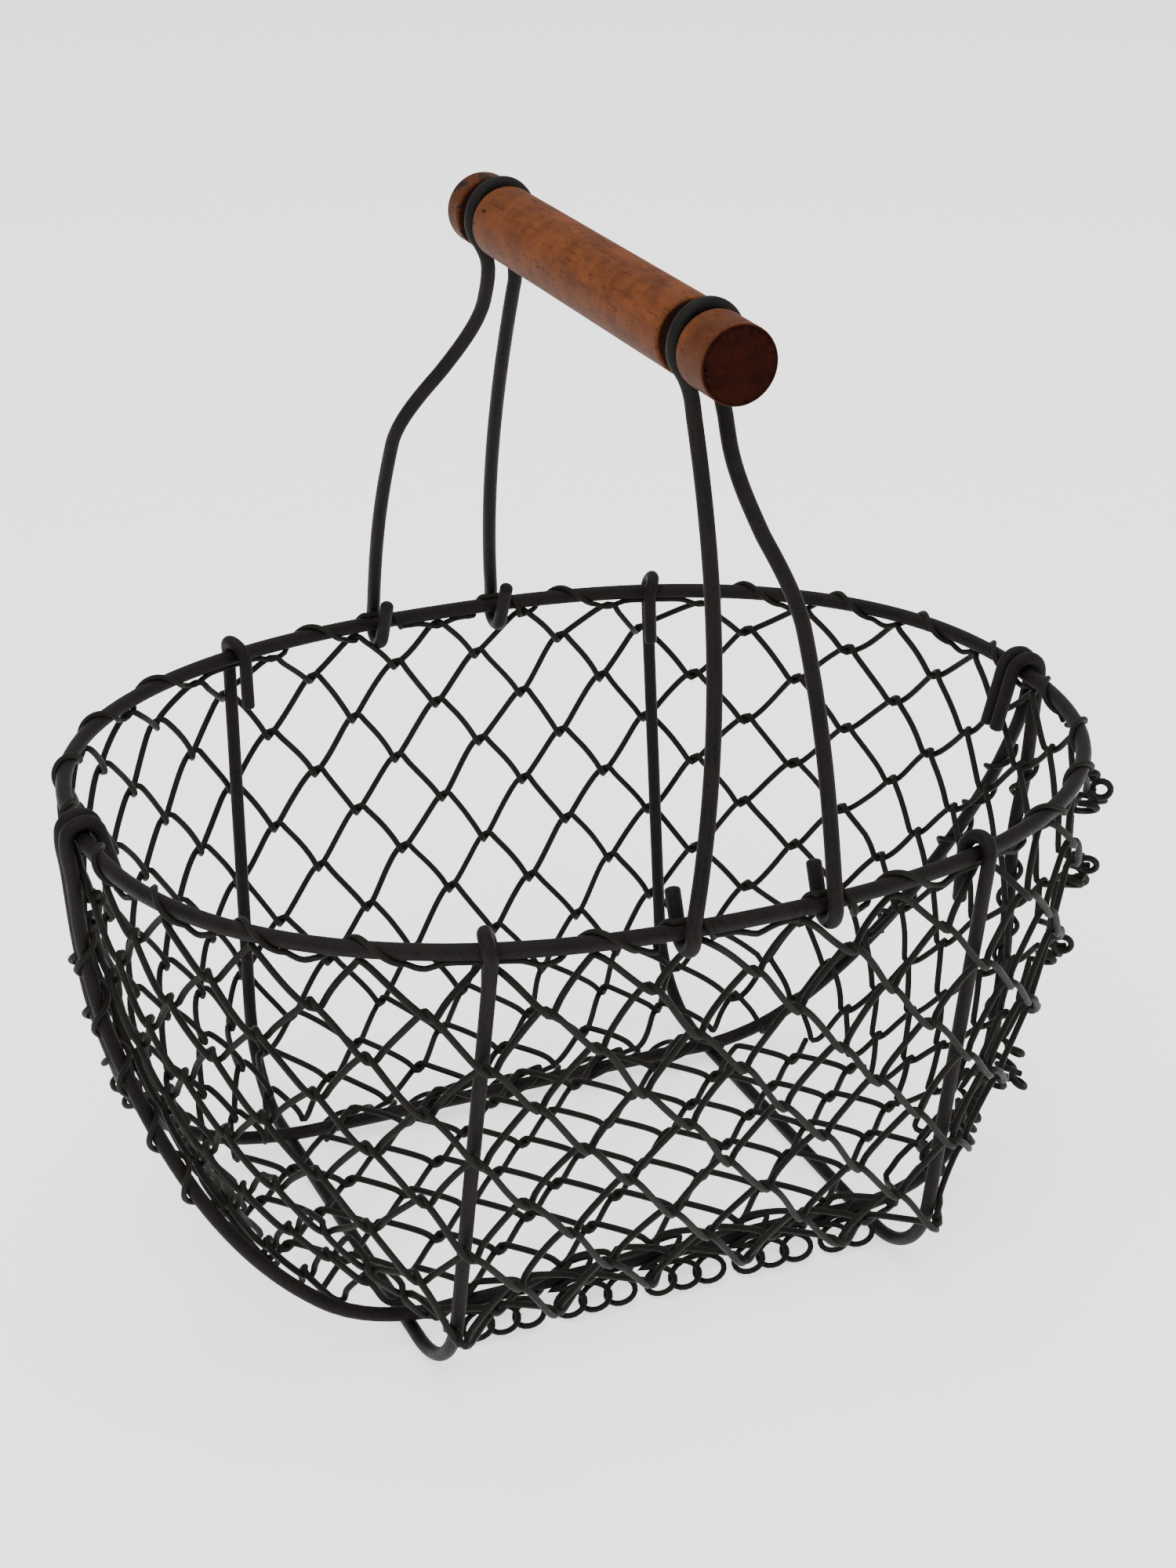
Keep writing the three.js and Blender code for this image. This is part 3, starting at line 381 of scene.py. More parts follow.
def oval_radius(a, b, n, angle):
    """Distance from the middle to a rounded oval: (|cos/a|^n + |sin/b|^n)^(-1/n)."""
    return (np.abs(np.cos(angle) / a) ** n + np.abs(np.sin(angle) / b) ** n) ** (-1 / n)


def oval_across(a, b, n, x):
    """Half width of a rounded oval at a place along it: b (1 - |x/a|^n)^(1/n)."""
    return b * (1 - np.abs(x / a) ** n) ** (1 / n)


def smoothstep(x, low, high):
    """Rises from 0 to 1 as 3t^2 - 2t^3."""
    t = np.clip((x - low) / (high - low), 0, 1)
    return t * t * (3 - 2 * t)


def between(rows, at):
    """Rows of a table read at any place: evenly from each one to the next."""
    j = np.clip(np.floor(at).astype(int), 0, len(rows) - 2)
    t = (at - j)[..., None]
    return rows[j] * (1 - t) + rows[j + 1] * t


class Wall:
    """The wall as a surface of two parameters: the place round the basket, in diamonds from the
    left back rib, and the row of the net's nodes, counted down from the rim. Between the ribs it
    runs down outside them and round their bends. Round the ends its level sections are rounded
    ovals that widen upwards, and near a rib they are pushed out to it."""

    def __init__(self, sizes):
        self.sizes = sizes
        self.length = sizes.rim_length
        self.width = sizes.rim_width
        self.height = sizes.rim_height
        self.rib = sizes.rib_spacing / 2
        self.levels = np.linspace(0, self.height + WALL_OVER_RIM, WALL_LEVELS)
        self.table = np.concatenate([self.half_round(*self.oval(level)) for level in self.levels])
        self.rim = self.half_round(self.length / 2, self.width / 2, RIM_SQUARENESS)
        self.top = self.height - TOP_DROP

    def oval(self, level):
        """Half length, half width and squareness at a height. The length grows as a power of the
        depth below the rim and the width evenly."""
        t = (level - FOOT_HEIGHT) / (self.height - FOOT_HEIGHT)
        rise = END_TAPER * t + (1 - END_TAPER) * (1 - np.maximum(1 - t, 0) ** END_BELLY)
        a = (FOOT_LENGTH + (self.length - FOOT_LENGTH) * rise) / 2
        b = (FOOT_WIDTH + (self.width - FOOT_WIDTH) * t) / 2
        return a, b, FOOT_SQUARENESS + (RIM_SQUARENESS - FOOT_SQUARENESS) * np.minimum(t, 1)

    def half_round(self, a, b, n):
        """Points at even steps of a diamond: even in x on the side, even in length on the end."""
        side = np.linspace(-self.rib, self.rib, SIDE_PITCHES * WALL_SAMPLES + 1)
        start = math.atan2(oval_across(a, b, n, self.rib), self.rib)
        angle = np.linspace(start, -start, END_ANGLES)
        radius = oval_radius(a, b, n, angle)
        end = np.stack([radius * np.cos(angle), radius * np.sin(angle)], axis=1)
        run = np.concatenate([[0], np.cumsum(np.linalg.norm(np.diff(end, axis=0), axis=1))])
        even = np.linspace(0, run[-1], END_PITCHES * WALL_SAMPLES + 1)[1:]
        return np.stack([
            np.concatenate([side, np.interp(even, run, end[:, 0])]),
            np.concatenate([oval_across(a, b, n, side), np.interp(even, run, end[:, 1])]),
        ], axis=1)

    def split(self, u):
        """Sample number and sign of a place: the second half is the first turned by half a turn."""
        turn = np.mod(u, AROUND)
        sign = np.where(turn < HALF_ROUND, 1.0, -1.0)
        return np.where(turn < HALF_ROUND, turn, turn - HALF_ROUND) * WALL_SAMPLES, sign

    def end_at(self, u, row):
        """Place on the ovals at a row's height, read between the two nearest levels. The rows stand
        closer together towards the foot, by a power of what is left."""
        left = 1 - np.maximum(row - 1, 0) / (NET_ROWS - 1)
        start = self.top - NET_TOP_ROW * np.minimum(row, 1)
        height = FOOT_HEIGHT + (start - FOOT_HEIGHT) * left ** NET_ROW_CROWDING
        place, sign = self.split(u)
        level = height / self.levels[-1] * (WALL_LEVELS - 1)
        i = np.clip(np.floor(level).astype(int), 0, WALL_LEVELS - 2)
        s = (level - i)[..., None]
        low, high = (between(self.table, k * len(self.rim) + place) for k in (i, i + 1))
        flat = (low * (1 - s) + high * s) * sign[..., None]
        return np.concatenate([flat, height[..., None]], axis=-1)

    def beside_rib(self, back, row):
        """The net's distance from the middle and its height at a rib: down outside the leg, round
        an arc about the rib's own bend, then straight in to the base wire."""
        foot = np.where(back, RIB_FOOT[1], RIB_FOOT[-1])
        edge = rim_edge(self.sizes, self.rib)
        lean = np.arctan2(edge + RIB_TO_RIM - foot, self.height - RIB_MIDDLE)
        radius = RIB_CORNER + NET_OFF_RIB
        centre_z = RIB_MIDDLE + RIB_CORNER
        centre_y = foot + RIB_CORNER * np.tan(lean) - RIB_CORNER / np.cos(lean)
        turn_z = centre_z - radius * np.sin(lean)
        leg = (self.top - NET_TOP_ROW - turn_z) / np.cos(lean)
        corner = math.asin((centre_z - NET_CORNER) / radius)
        run = (leg + radius * (corner - lean)) * (row - 1) / (NET_CORNER_ROW - 1)
        up = np.maximum(leg - run, 0)
        angle = lean + np.clip(run - leg, 0, radius * (corner - lean)) / radius
        y = centre_y + radius * np.cos(angle) + up * np.sin(lean)
        z = centre_z - radius * np.sin(angle) + up * np.cos(lean)
        inward = np.clip((row - NET_CORNER_ROW) / (NET_ROWS - NET_CORNER_ROW), 0, 1)
        return y + (FOOT_WIDTH / 2 - y) * inward, z + (FOOT_HEIGHT - z) * inward, inward

    def side_at(self, u, row):
        """Place between two ribs: the distance beside the rib plus a fullness that falls with the
        square of the distance from the middle. The top row follows the rim."""
        turn = np.mod(u, AROUND)
        back = turn < HALF_ROUND
        sign = np.where(back, 1.0, -1.0)
        x = sign * (np.mod(turn, HALF_ROUND) * 2 * self.rib / SIDE_PITCHES - self.rib)
        y, z, inward = self.beside_rib(back, np.maximum(row, 1))
        down = row / NET_ROWS
        drawn = NET_DRAW * np.sin(np.pi * down ** NET_DRAW_CURVE)
        full = NET_FULLNESS * np.sin(np.pi * down) - drawn
        below = np.minimum(row, 1)
        left = (self.rib - x) / (2 * self.rib)
        spread = RIB_SPREAD * left * (1 - inward ** 2) * (self.height - z) / self.height
        rim = rim_edge(self.sizes, x)
        wide = y + full * (1 - (x / self.rib) ** 2)
        return np.stack([
            x - spread * below, sign * (rim + (wide - rim) * below), self.top + (z - self.top) * below,
        ], axis=-1)

    def point(self, u, row):
        """Place on the wall."""
        u, row = np.broadcast_arrays(np.asarray(u, float), np.clip(row, 0, NET_ROWS))
        turn = np.mod(u, AROUND)
        along = np.mod(turn, HALF_ROUND)
        half = turn - along
        side = along <= SIDE_PITCHES
        low = smoothstep(row, *NET_REACH_ROWS)
        reach = NET_REACH + (NET_REACH_LOW - NET_REACH) * low
        end = self.end_at(turn, row)
        for rib, distance in (
            (half + SIDE_PITCHES, along - SIDE_PITCHES), (half + HALF_ROUND, HALF_ROUND - along),
        ):
            weight = np.clip(1 - distance / reach, 0, 1)[..., None]
            end = end + (self.side_at(rib, row) - self.end_at(rib, row)) * weight
        return np.where(side[..., None], self.side_at(np.where(side, turn, 0), row), end)

    def axes(self, u, row):
        """Directions along the wall, down it and out of it."""
        row = np.clip(row, 0, NET_ROWS)
        step = AXIS_STEP
        along = unit(self.point(u + step, row) - self.point(u - step, row))
        down = unit(self.point(u, row + step) - self.point(u, row - step))
        return along, down, unit(np.cross(along, down))

    def on_rim(self, u):
        """Place on the rim's centreline, with the directions along it and out of it."""
        def at(where):
            """Read from the rim's own table."""
            place, sign = self.split(np.asarray(where, float))
            flat = between(self.rim, place) * sign[..., None]
            return np.concatenate([flat, np.full(flat.shape[:-1] + (1,), self.height)], axis=-1)
        middle = at(u)
        along = unit(at(u + AXIS_STEP) - at(u - AXIS_STEP))
        out = unit(np.cross(UP, along))
        facing = np.sign(out[..., 0] * middle[..., 0] + out[..., 1] * middle[..., 1])
        return middle, along, out * facing[..., None]


# Frame wires

def rim_edge(sizes, x):
    """Half width of the rim at a place along it."""
    return oval_across(sizes.rim_length / 2, sizes.rim_width / 2, RIM_SQUARENESS, x)


def rim_path(sizes):
    """A rounded oval at one height."""
    angle = 2 * math.pi * np.arange(RIM_POINTS) / RIM_POINTS
    radius = oval_radius(sizes.rim_length / 2, sizes.rim_width / 2, RIM_SQUARENESS, angle)
    level = np.full_like(angle, sizes.rim_height)
    return np.stack([radius * np.cos(angle), radius * np.sin(angle), level], axis=1)


RIB_TAIL = 0.017
RIB_LEAN = 4
RIB_HOOK_TURN = math.radians(37)    # a hook turns as it wraps, to sit square on the rim's curve
RIB_HOOK_STEPS = 16
RIB_TAIL_SHARES = np.linspace(1, 0.1, 6)
RIB_BEND_STEPS = 18
RIB_LEG_STEPS = 9
SOLID_RIB_WIRE = 0.0046
SOLID_WIRE = 0.0048          # lengthwise wires and bows


def rib_path(sizes, side):
    """Hook over the rim, straight leg, round corner, straight foot, and the same on the far side,
    all in one leaning plane."""
    top = side * sizes.rib_spacing / 2
    foot = top - RIB_SPREAD if side < 0 else top
    reach = (sizes.rim_wire + SOLID_RIB_WIRE) / 2 + PLAY
    edge = rim_edge(sizes, top)
    floor = sizes.rib_wire / 2

    def across(y, z):
        """A point of the leaning plane: its sideways place changes evenly with the depth."""
        sunk = (sizes.rim_height - z) / (sizes.rim_height - floor)
        return np.array([top + (foot - top) * sunk, y, z])

    def hook(back):
        """A circle over the rim, turned evenly about the upright as it goes, and a straight tail."""
        centre = np.array([top, back * edge, sizes.rim_height])
        angle = np.radians(180 - RIB_LEAN) * np.linspace(0, 1, RIB_HOOK_STEPS + 1)[:, None]
        turn = RIB_HOOK_TURN * angle / math.pi
        out = np.concatenate([side * np.sin(turn), back * np.cos(turn), 0 * turn], axis=1)
        wrap = centre + reach * (out * np.cos(angle) + UP * np.sin(angle))
        lean = math.radians(RIB_LEAN)
        tail = np.array([0, -back * math.sin(lean), -math.cos(lean)])
        end = wrap[-1] + tail * RIB_TAIL_SHARES[:, None] * RIB_TAIL
        return np.concatenate([end, wrap[::-1]])

    def corner(back):
        """The bend at the foot, between the lines of the leg and the floor."""
        leg = across(back * (edge + reach), sizes.rim_height)
        bend = across(back * RIB_FOOT[back], floor)
        return rounded_corner(leg, bend, across(0, floor), RIB_CORNER, RIB_BEND_STEPS)

    path = hook(-1)
    between = np.linspace(0, 1, RIB_LEG_STEPS + 1)[1:-1, None]
    for run in (corner(-1), corner(1)[::-1], hook(1)[::-1]):
        path = np.concatenate([path, path[-1] + (run[0] - path[-1]) * between, run])
    return path


BASE_WIRE_RISE = 0.00675
END_PITCH = 0.0058
END_TAIL = 0.020
END_LEAN = 15
END_LIFT = 0.008
END_HOOK_STEPS = 12
END_TAIL_SHARES = np.array([1, 0.66, 0.33])
END_GUIDES = 9
END_GUIDE_CROWDING = 1.5     # they stand closer together towards the base
LENGTHWISE_STEPS = 6
NET_TO_WIRE = 0.00516
LACE_ROOM = 0.0019
END_LACE_ROOM_DROP = 0.049
AIMING_ROUNDS = 4
SLOPE_STEP = 0.00001
BASE_GUIDES = (0.5, 0.4, 0.25)      # shares of the straight run on the base
END_SPLAY = {                # height where the wire is side by side with its twin, and a power
    (-1, -1): (0.115, 1.2),
    (-1, 1): (0.103, 0.8),
    (1, -1): (0.084, 1.1),
    (1, 1): (0.148, 1.25),
}


def off_end_wall(wall, side, y, height, offset):
    """A point this far off the end wall: the wall is where |x/a|^n + |y/b|^n is one, and its
    outward direction is the slope of that sum. Rounds of aiming bring it to y and height."""
    def total(x, across, level):
        """The sum at a place."""
        a, b, n = wall.oval(level)
        return np.abs(x / a) ** n + np.abs(across / b) ** n
    aim_y, aim_z = y, height
    step = SLOPE_STEP
    for _ in range(AIMING_ROUNDS):
        a, b, n = wall.oval(aim_z)
        x = side * oval_across(b, a, n, aim_y)
        out = unit(np.stack([
            total(x + step, aim_y, aim_z) - total(x - step, aim_y, aim_z),
            total(x, aim_y + step, aim_z) - total(x, aim_y - step, aim_z),
            total(x, aim_y, aim_z + step) - total(x, aim_y, aim_z - step),
        ], axis=1))
        point = np.stack([x, aim_y, aim_z], axis=1) + out * offset[:, None]
        aim_y = aim_y + y - point[:, 1]
        aim_z = aim_z + height - point[:, 2]
    return point


def end_guides(sizes, wall, side, back):
    """Guide points of one end of a lengthwise wire: hook over the rim, down the outside of the end
    wall, and on to the base. Its distance from the middle grows as a power of the depth."""
    top, curve = END_SPLAY[(back, side)]
    middle = END_PITCH / 2
    reach = (sizes.rim_wire + SOLID_WIRE) / 2 + PLAY
    edge = oval_across(sizes.rim_width / 2, sizes.rim_length / 2, RIM_SQUARENESS, middle)
    centre = np.array([side * edge, back * middle, sizes.rim_height])
    wrap = arc(centre, side * RIGHT, UP, reach, 180 - END_LEAN, END_HOOK_STEPS)
    lean = math.radians(END_LEAN)
    tail = np.array([-side * math.sin(lean), 0, -math.cos(lean)])
    hook = np.concatenate([wrap[-1] + tail * END_TAIL_SHARES[:, None] * END_TAIL, wrap[::-1]])
    start = sizes.rim_height - TOP_DROP - sizes.lengthwise_wire
    bottom = BASE_WIRE_RISE + END_LIFT
    height = bottom + (start - bottom) * (1 - np.linspace(0, 1, END_GUIDES)) ** END_GUIDE_CROWDING
    sunk = np.clip((height - BASE_WIRE_RISE) / (top - BASE_WIRE_RISE), 0, 1)
    y = back * np.maximum(middle, sizes.base_width / 2 * (1 - sunk ** curve))
    room = LACE_ROOM * smoothstep(start - height, 0, END_LACE_ROOM_DROP)
    down = off_end_wall(wall, side, y, height, NET_TO_WIRE + room)
    base = [[side * share * sizes.base_straight, back * sizes.base_width / 2, BASE_WIRE_RISE]
            for share in BASE_GUIDES]
    return np.concatenate([hook, down, base])


def lengthwise_path(sizes, wall, back):
    """The two ends joined by the straight run on the base, as one smooth curve."""
    left = end_guides(sizes, wall, -1, back)
    right = end_guides(sizes, wall, 1, back)[::-1]
    middle = np.array([[0, back * sizes.base_width / 2, BASE_WIRE_RISE]])
    return smooth_path(np.concatenate([left, middle, right]), LENGTHWISE_STEPS)


# Net

LEG_STEPS = 12
BEND_SHARPNESS = 0.985
CROSSING_SOFTNESS = 0.1
SEAM_CUT = 4                 # steps left off at both ends of a strand
SEAM_NECK = 0.0024
SEAM_RING_STEPS = 18
SEAM_RING_PITCH = 1.15       # of the wire's thickness
SEAM_TURNS = [1.1, 1.45, 1.3, 1.6, 1.35, 1.5, 1.25, 1.4, 1.2, 1.55, 1.3]
SEAM_LEANS = [10, 55, 25, 60, 15, 50, 70, 20, 35, 65, 30]
LAST_TURN_SHORT = 0.4
SEAM_RING_START = 0.5        # share of the neck at which the ring's first point stands
WOBBLE = 0.0008
LEAN_WAVES = ((1.9, 2.3, 0), (0.7, -1.3, 1))    # radians to a diamond and to a row, and at the start
RISE_WAVES = ((2.6, -1.7, 2),)
FRONT_SHIFT = 0.5
BASE_ROWS = 8
BASE_NET_INSET = 0.0015
BASE_NET_END_GAP = 0.001
BASE_NET_RISE = 0.0120
BASE_NET_FLATNESS = 0.8
BASE_NET_ARCH = 0.6


def zigzag(s, phase, depth, hook, shear, arch):
    """One strand of chain link over s, which grows by one from bend to bend. The swing between the
    bends is the arc sine of a slightly shortened cosine: straight legs with round bends. The depth
    is a sine over its own size, so legs lie to one side or the other and cross over at the bends.
    Bends lean along the strand with the fifth power of the swing and reach on by the hook, and
    inner legs arch by a parabola. Gives lean, swing, what is added to the height, and depth."""
    turn = np.pi * (s + phase)
    swing = np.arcsin(-BEND_SHARPNESS * np.cos(turn)) / np.arcsin(BEND_SHARPNESS)
    side = np.sin(turn) / np.sqrt(np.sin(turn) ** 2 + CROSSING_SOFTNESS)
    inner = (1 - side) / 2
    return shear * swing ** 5, swing, hook * swing + arch * (1 - swing ** 2) * inner, depth * side


def seam_ring(root, along, down, out, sizes, turns, lean, flip):
    """The cut end of a strand: out of the wall and round in a ring that winds sideways."""
    radius = sizes.ring
    tilt = math.radians(lean)
    across = unit(down * math.cos(tilt) + along * math.sin(tilt) * flip)
    axis = unit(np.cross(out, across)) * flip
    centre = root + out * (SEAM_NECK + radius)
    angle = np.linspace(0, 2 * math.pi * turns, int(SEAM_RING_STEPS * turns))[1:, None]
    drift = (angle / (2 * math.pi)) * sizes.wire * SEAM_RING_PITCH
    ring = centre - out * radius * np.cos(angle) + across * radius * np.sin(angle) + axis * drift
    return np.concatenate([[root, root + out * (SEAM_NECK * SEAM_RING_START)], ring])


def thick_wires(sizes, wall):
    """Ribs and lengthwise wires with their thicknesses, for the net to keep clear of."""
    return [(rib_path(sizes, side), sizes.rib_wire) for side in (-1, 1)] + [
        (lengthwise_path(sizes, wall, back), sizes.lengthwise_wire) for back in (-1, 1)]


def slow_waves(u, level, waves):
    """A small offset that varies slowly over the wall: a product of sines."""
    return WOBBLE * math.prod(np.sin(a * u + b * level + start) for a, b, start in waves)


def wall_strand_path(wall, sizes, row):
    """A strand once round the basket, as a zigzag laid on the wall, with both ends at the seam
    turned out into rings. Round the right end the diamonds are a little narrower than round the
    left, so that on the front they stand half a diamond further on. Slow waves over the wall move
    them a little, as in a net that is stretched by hand."""
    seam = SEAM + (1 if row >= SEAM_STEP_ROW else 0)
    s = np.linspace(0, 2 * AROUND, 2 * AROUND * LEG_STEPS + 1)[SEAM_CUT:-SEAM_CUT]
    lean, swing, rise, depth = zigzag(s, row % 2, sizes.depth, sizes.hook, sizes.shear, sizes.arch)
    if row == 0:
        rise = rise + APEX_RISE * (1 + swing) / 2
    u = seam + s / 2
    turn = np.mod(u, AROUND)
    right, left = turn - SIDE_PITCHES, turn - HALF_ROUND - SIDE_PITCHES
    u = u + FRONT_SHIFT * (np.clip(right / END_PITCHES, 0, 1) - np.clip(left / END_PITCHES, 0, 1))
    level = row + (1 - swing) / 2
    along, down, out = wall.axes(u, level)
    lean = lean + slow_waves(u, level, LEAN_WAVES)
    rise = rise + slow_waves(u, level, RISE_WAVES) * np.minimum(level, 1)
    path = wall.point(u, level) + along * lean[:, None] - down * rise[:, None] + out * depth[:, None]
    first = seam_ring(path[0], -along[0], down[0], out[0], sizes,
                      SEAM_TURNS[row], SEAM_LEANS[row], 1)[::-1]
    last = seam_ring(path[-1], along[-1], down[-1], out[-1], sizes,
                     SEAM_TURNS[-1 - row] - LAST_TURN_SHORT, SEAM_LEANS[-1 - row], -1)
    return np.concatenate([first[:-1], path, last[1:]])


def base_strand_path(sizes, net, wall, row):
    """A zigzag along the base, as long as the floor is at that place across it."""
    width = sizes.base_width - 2 * BASE_NET_INSET
    step = width / BASE_ROWS
    near = -width / 2 + step * row
    edge = max(abs(near), abs(near + step))
    a, b, n = wall.oval(FOOT_HEIGHT)
    reach = a * (1 - (edge / b) ** n) ** (1 / n) - BASE_NET_END_GAP
    last = reach * 2 / NET_PITCH
    s = np.linspace(-last, last, round(last * 2 * LEG_STEPS) + 1)
    lean, swing, rise, depth = zigzag(
        s, (row + 1) % 2 + 1, net.depth * BASE_NET_FLATNESS, net.hook, net.shear,
        net.arch * BASE_NET_ARCH)
    y = near + step / 2 * (1 + swing) + rise
    return np.stack([s * NET_PITCH / 2 + lean, y, BASE_NET_RISE - depth], axis=1)


# Windings

BINDING_START = 10.5         # in diamonds, like the lengths of its turns
WRAP_HALF = 0.36
HOOK_SPACING = 0.044         # between the two hooks of one bow
HOOK_FLAT = 0.125
HOOK_RAMP = 0.15
SAG = 0.0021
SAG_WIDTH = 0.13
RIM_BITE = 0.0003            # the binding is wound on wet paint and sits in it
BINDING_END = 0.05           # each end stops this far short of the start, in diamonds
BINDING_STEPS = 8
LONG_SPAN = 1.5              # where a turn is left out, the wire has a point of its own under the rim


def rim_turns(wall):
    """Middle, flat and ramp of each turn round the rim, in diamonds. None is wound where a rib
    sits, and a turn at a bow's hook is wide enough to clear it."""
    at_hook = (HOOK_SPACING / 2 + wall.rib) / (2 * wall.rib / SIDE_PITCHES)
    side = [SIDE_PITCHES - at_hook, at_hook]
    hooks = side + [HALF_ROUND + at for at in side]
    ribs = (0, SIDE_PITCHES, HALF_ROUND, HALF_ROUND + SIDE_PITCHES)
    turns = []
    for u in range(math.ceil(BINDING_START), math.ceil(BINDING_START) + AROUND):
        place = u % AROUND
        near = [at for at in hooks if abs(at - place) < 0.5]
        if place in ribs:
            continue
        turns.append((u - place + near[0], HOOK_FLAT, HOOK_RAMP) if near else (u, 0.0, WRAP_HALF))
    return turns


def rim_binding_path(wall, sizes, rim_wire):
    """A thin wire that climbs over the rim once to each diamond and hangs in a shallow loop under
    it at each upper bend of the net: the angle round the rim and the place along it are read off
    one list of corners, and the distance from the rim's middle grows by the sag at each bend."""
    places, angles = [BINDING_START + BINDING_END], [0.0]
    level = 0.0
    turns = rim_turns(wall)
    for index, (at, flat, ramp) in enumerate(turns):
        places += [at - flat - ramp, at - flat, at + flat, at + flat + ramp]
        angles += [level, level + math.pi, level + math.pi, level + 2 * math.pi]
        level += 2 * math.pi
        following = turns[(index + 1) % len(turns)][0]
        if following - at > LONG_SPAN:
            places.append(at + 1)
            angles.append(level)
    places.append(BINDING_START + AROUND - BINDING_END)
    angles.append(level)
    places, keep = np.unique(np.array(places), return_index=True)
    angles = np.array(angles)[keep]
    u = np.concatenate([
        np.linspace(a, b, BINDING_STEPS + 1)[:-1] for a, b in zip(places[:-1], places[1:])
    ] + [places[-1:]])
    angle = np.interp(u, places, angles)
    apex = np.abs(np.mod(u, 1) - 0.5)
    room = (rim_wire + sizes.wire) / 2 - RIM_BITE
    sag = SAG * np.exp(-(apex / SAG_WIDTH) ** 2) * (0.5 + 0.5 * np.cos(angle))
    middle, _, out = wall.on_rim(u)
    reach = (room + sag)[:, None]
    path = middle + out * reach * np.sin(angle)[:, None] - UP * reach * np.cos(angle)[:, None]
    return smooth_path(path, 2)


LACE_GROUP = 3
LACE_LOOPS = 14
LACE_PITCH = 0.0086
LACE_LIFT = 0.0018
LACE_START = 0.010
LACE_ROOT = 30
LACE_FLOOR = 0.0010
LACE_STEPS = 20
# A stitch: how far along it is, the angle round the base wire and the distance as a share of the
# closest one. Its first half is measured from the last loop, its second from the next group.
STITCH_DOWN = ((0.0, -LACE_ROOT, 1.0), (0.0030, -95, 1.0), (0.0085, -175, 1.1))
STITCH_BACK = (
    (0.01125, 140, 1.3), (0.0150, 85, 1.5), (0.0120, 45, 1.25), (0.0060, 10, 1.02),
    (0.0, -LACE_ROOT, 1.0),
)
STITCH_STEPS = 6


def base_lacing_path(frame_sizes, sizes, back):
    """Groups of loops that hang outside a base wire. A loop swings sideways by a sine and out by
    one minus a cosine. Between two groups the wire runs on inside the base wire, comes up through
    the lowest bend of the net and falls back slantwise over the wire to the next group."""
    base = frame_sizes.base_width / 2
    room = (frame_sizes.lengthwise_wire + sizes.wire) / 2 + PLAY
    root = math.radians(LACE_ROOT)
    root_out = base + room * math.cos(root)
    root_up = BASE_WIRE_RISE - room * math.sin(root)
    slope = math.asin((root_up - LACE_FLOOR - sizes.wire / 2) / sizes.loop_length)
    swing = sizes.loop_width / 2 + LACE_PITCH / 4
    t = np.arange(LACE_STEPS) / LACE_STEPS
    angle = 2 * math.pi * t
    reach = sizes.loop_length / 2 * (1 - np.cos(angle))
    lift = LACE_LIFT * np.sin(angle)
    loop = np.stack([
        LACE_PITCH * t + swing * np.sin(angle),
        root_out + reach * math.cos(slope) + lift * math.sin(slope),
        root_up - reach * math.sin(slope) + lift * math.cos(slope),
    ], axis=1)

    def round_wire(start, stitch):
        """A point at an angle and a distance round the base wire."""
        along, degrees, share = stitch
        turn = math.radians(degrees)
        reach = room * share
        return [start + along, base + reach * math.cos(turn), BASE_WIRE_RISE + reach * math.sin(turn)]

    runs = []
    x = -frame_sizes.rib_spacing / 2 + LACE_START
    for k in range(LACE_LOOPS):
        runs.append(loop + RIGHT * x)
        x += LACE_PITCH
        if (k + 1) % LACE_GROUP == 0:
            ahead = x + NET_PITCH - LACE_GROUP * LACE_PITCH
            stitch = [round_wire(x, point) for point in STITCH_DOWN]
            stitch += [round_wire(ahead, point) for point in STITCH_BACK]
            runs.append(smooth_path(stitch, STITCH_STEPS)[1:-1])
            x = ahead
    runs.append([[x, root_out, root_up]])
    return np.concatenate(runs) * np.array([1.0, back, 1.0])


END_LACE_TOP = 0.130
END_LACE_TURNS = 5
END_LACE_DROP = 0.019
END_LACE_STEPS = 20
RIM_HOOK_POINTS = 60         # points of the wire's path that belong to its hook


def end_lacing_path(wire, side, sizes, wire_size):
    """Turns round a lengthwise wire on its way down an end: a helix round the wire's own path."""
    half = wire[wire[:, 0] * side > 0]
    if side > 0:
        half = half[::-1]
    below = (half[:, 2] < END_LACE_TOP) & (np.arange(len(half)) > RIM_HOOK_POINTS)
    step = END_LACE_DROP / END_LACE_STEPS
    core = even_steps(half[np.argmax(below):], step)[:END_LACE_TURNS * END_LACE_STEPS + 1]
    along = np.arange(len(core)) * step
    tangents = tangents_of(core, False)
    across = unit(np.cross(tangents, RIGHT))
    out = np.cross(across, tangents)
    angle = (2 * math.pi * along / END_LACE_DROP)[:, None]
    room = (wire_size + sizes.wire) / 2 + PLAY
    return core + room * (out * np.cos(angle) + across * np.sin(angle))


# Handle

NECK_DROP = 0.016
WAIST_DROP = 0.0126
NECK_SPACING = 0.0094
NECK_SHIFT = 0.0006
GRIP_SIDE = 0.0043
GRIP_SHIFT = -0.0048
GROOVE_SPACING = 0.1505
GROOVE_SHIFT = -0.0028
GROOVE_PLAY = 0.0019         # the loops sit towards the front in their grooves
GROOVE_ROOT = 0.0006
GRIP_SIDES = 96
GRIP_RUN_POINTS = 12
EDGE_POINTS = 5
EDGE_CLEARANCE = 1.5         # of the edge's radius, from a corner to the next point of a straight run
FACE_SHARES = np.linspace(0.15, 0.93, 6)
SLANT_CURVE = 2.3
SHOULDER_START = 0.53
SHOULDER_SPAN = 0.4
SHOULDER_BULGE = 0.003
HOOK_STUB = {-1: 0.0115, 1: 0.0150}
HOOK_DEPTH = {-1: 0.0003, 1: 0.0024}
BOW_WRAP_STEPS = 14
BOW_LEG_STEPS = 33
BOW_STUB_SHARES = np.linspace(1, 0.2, 4)
BOW_STEPS = 3
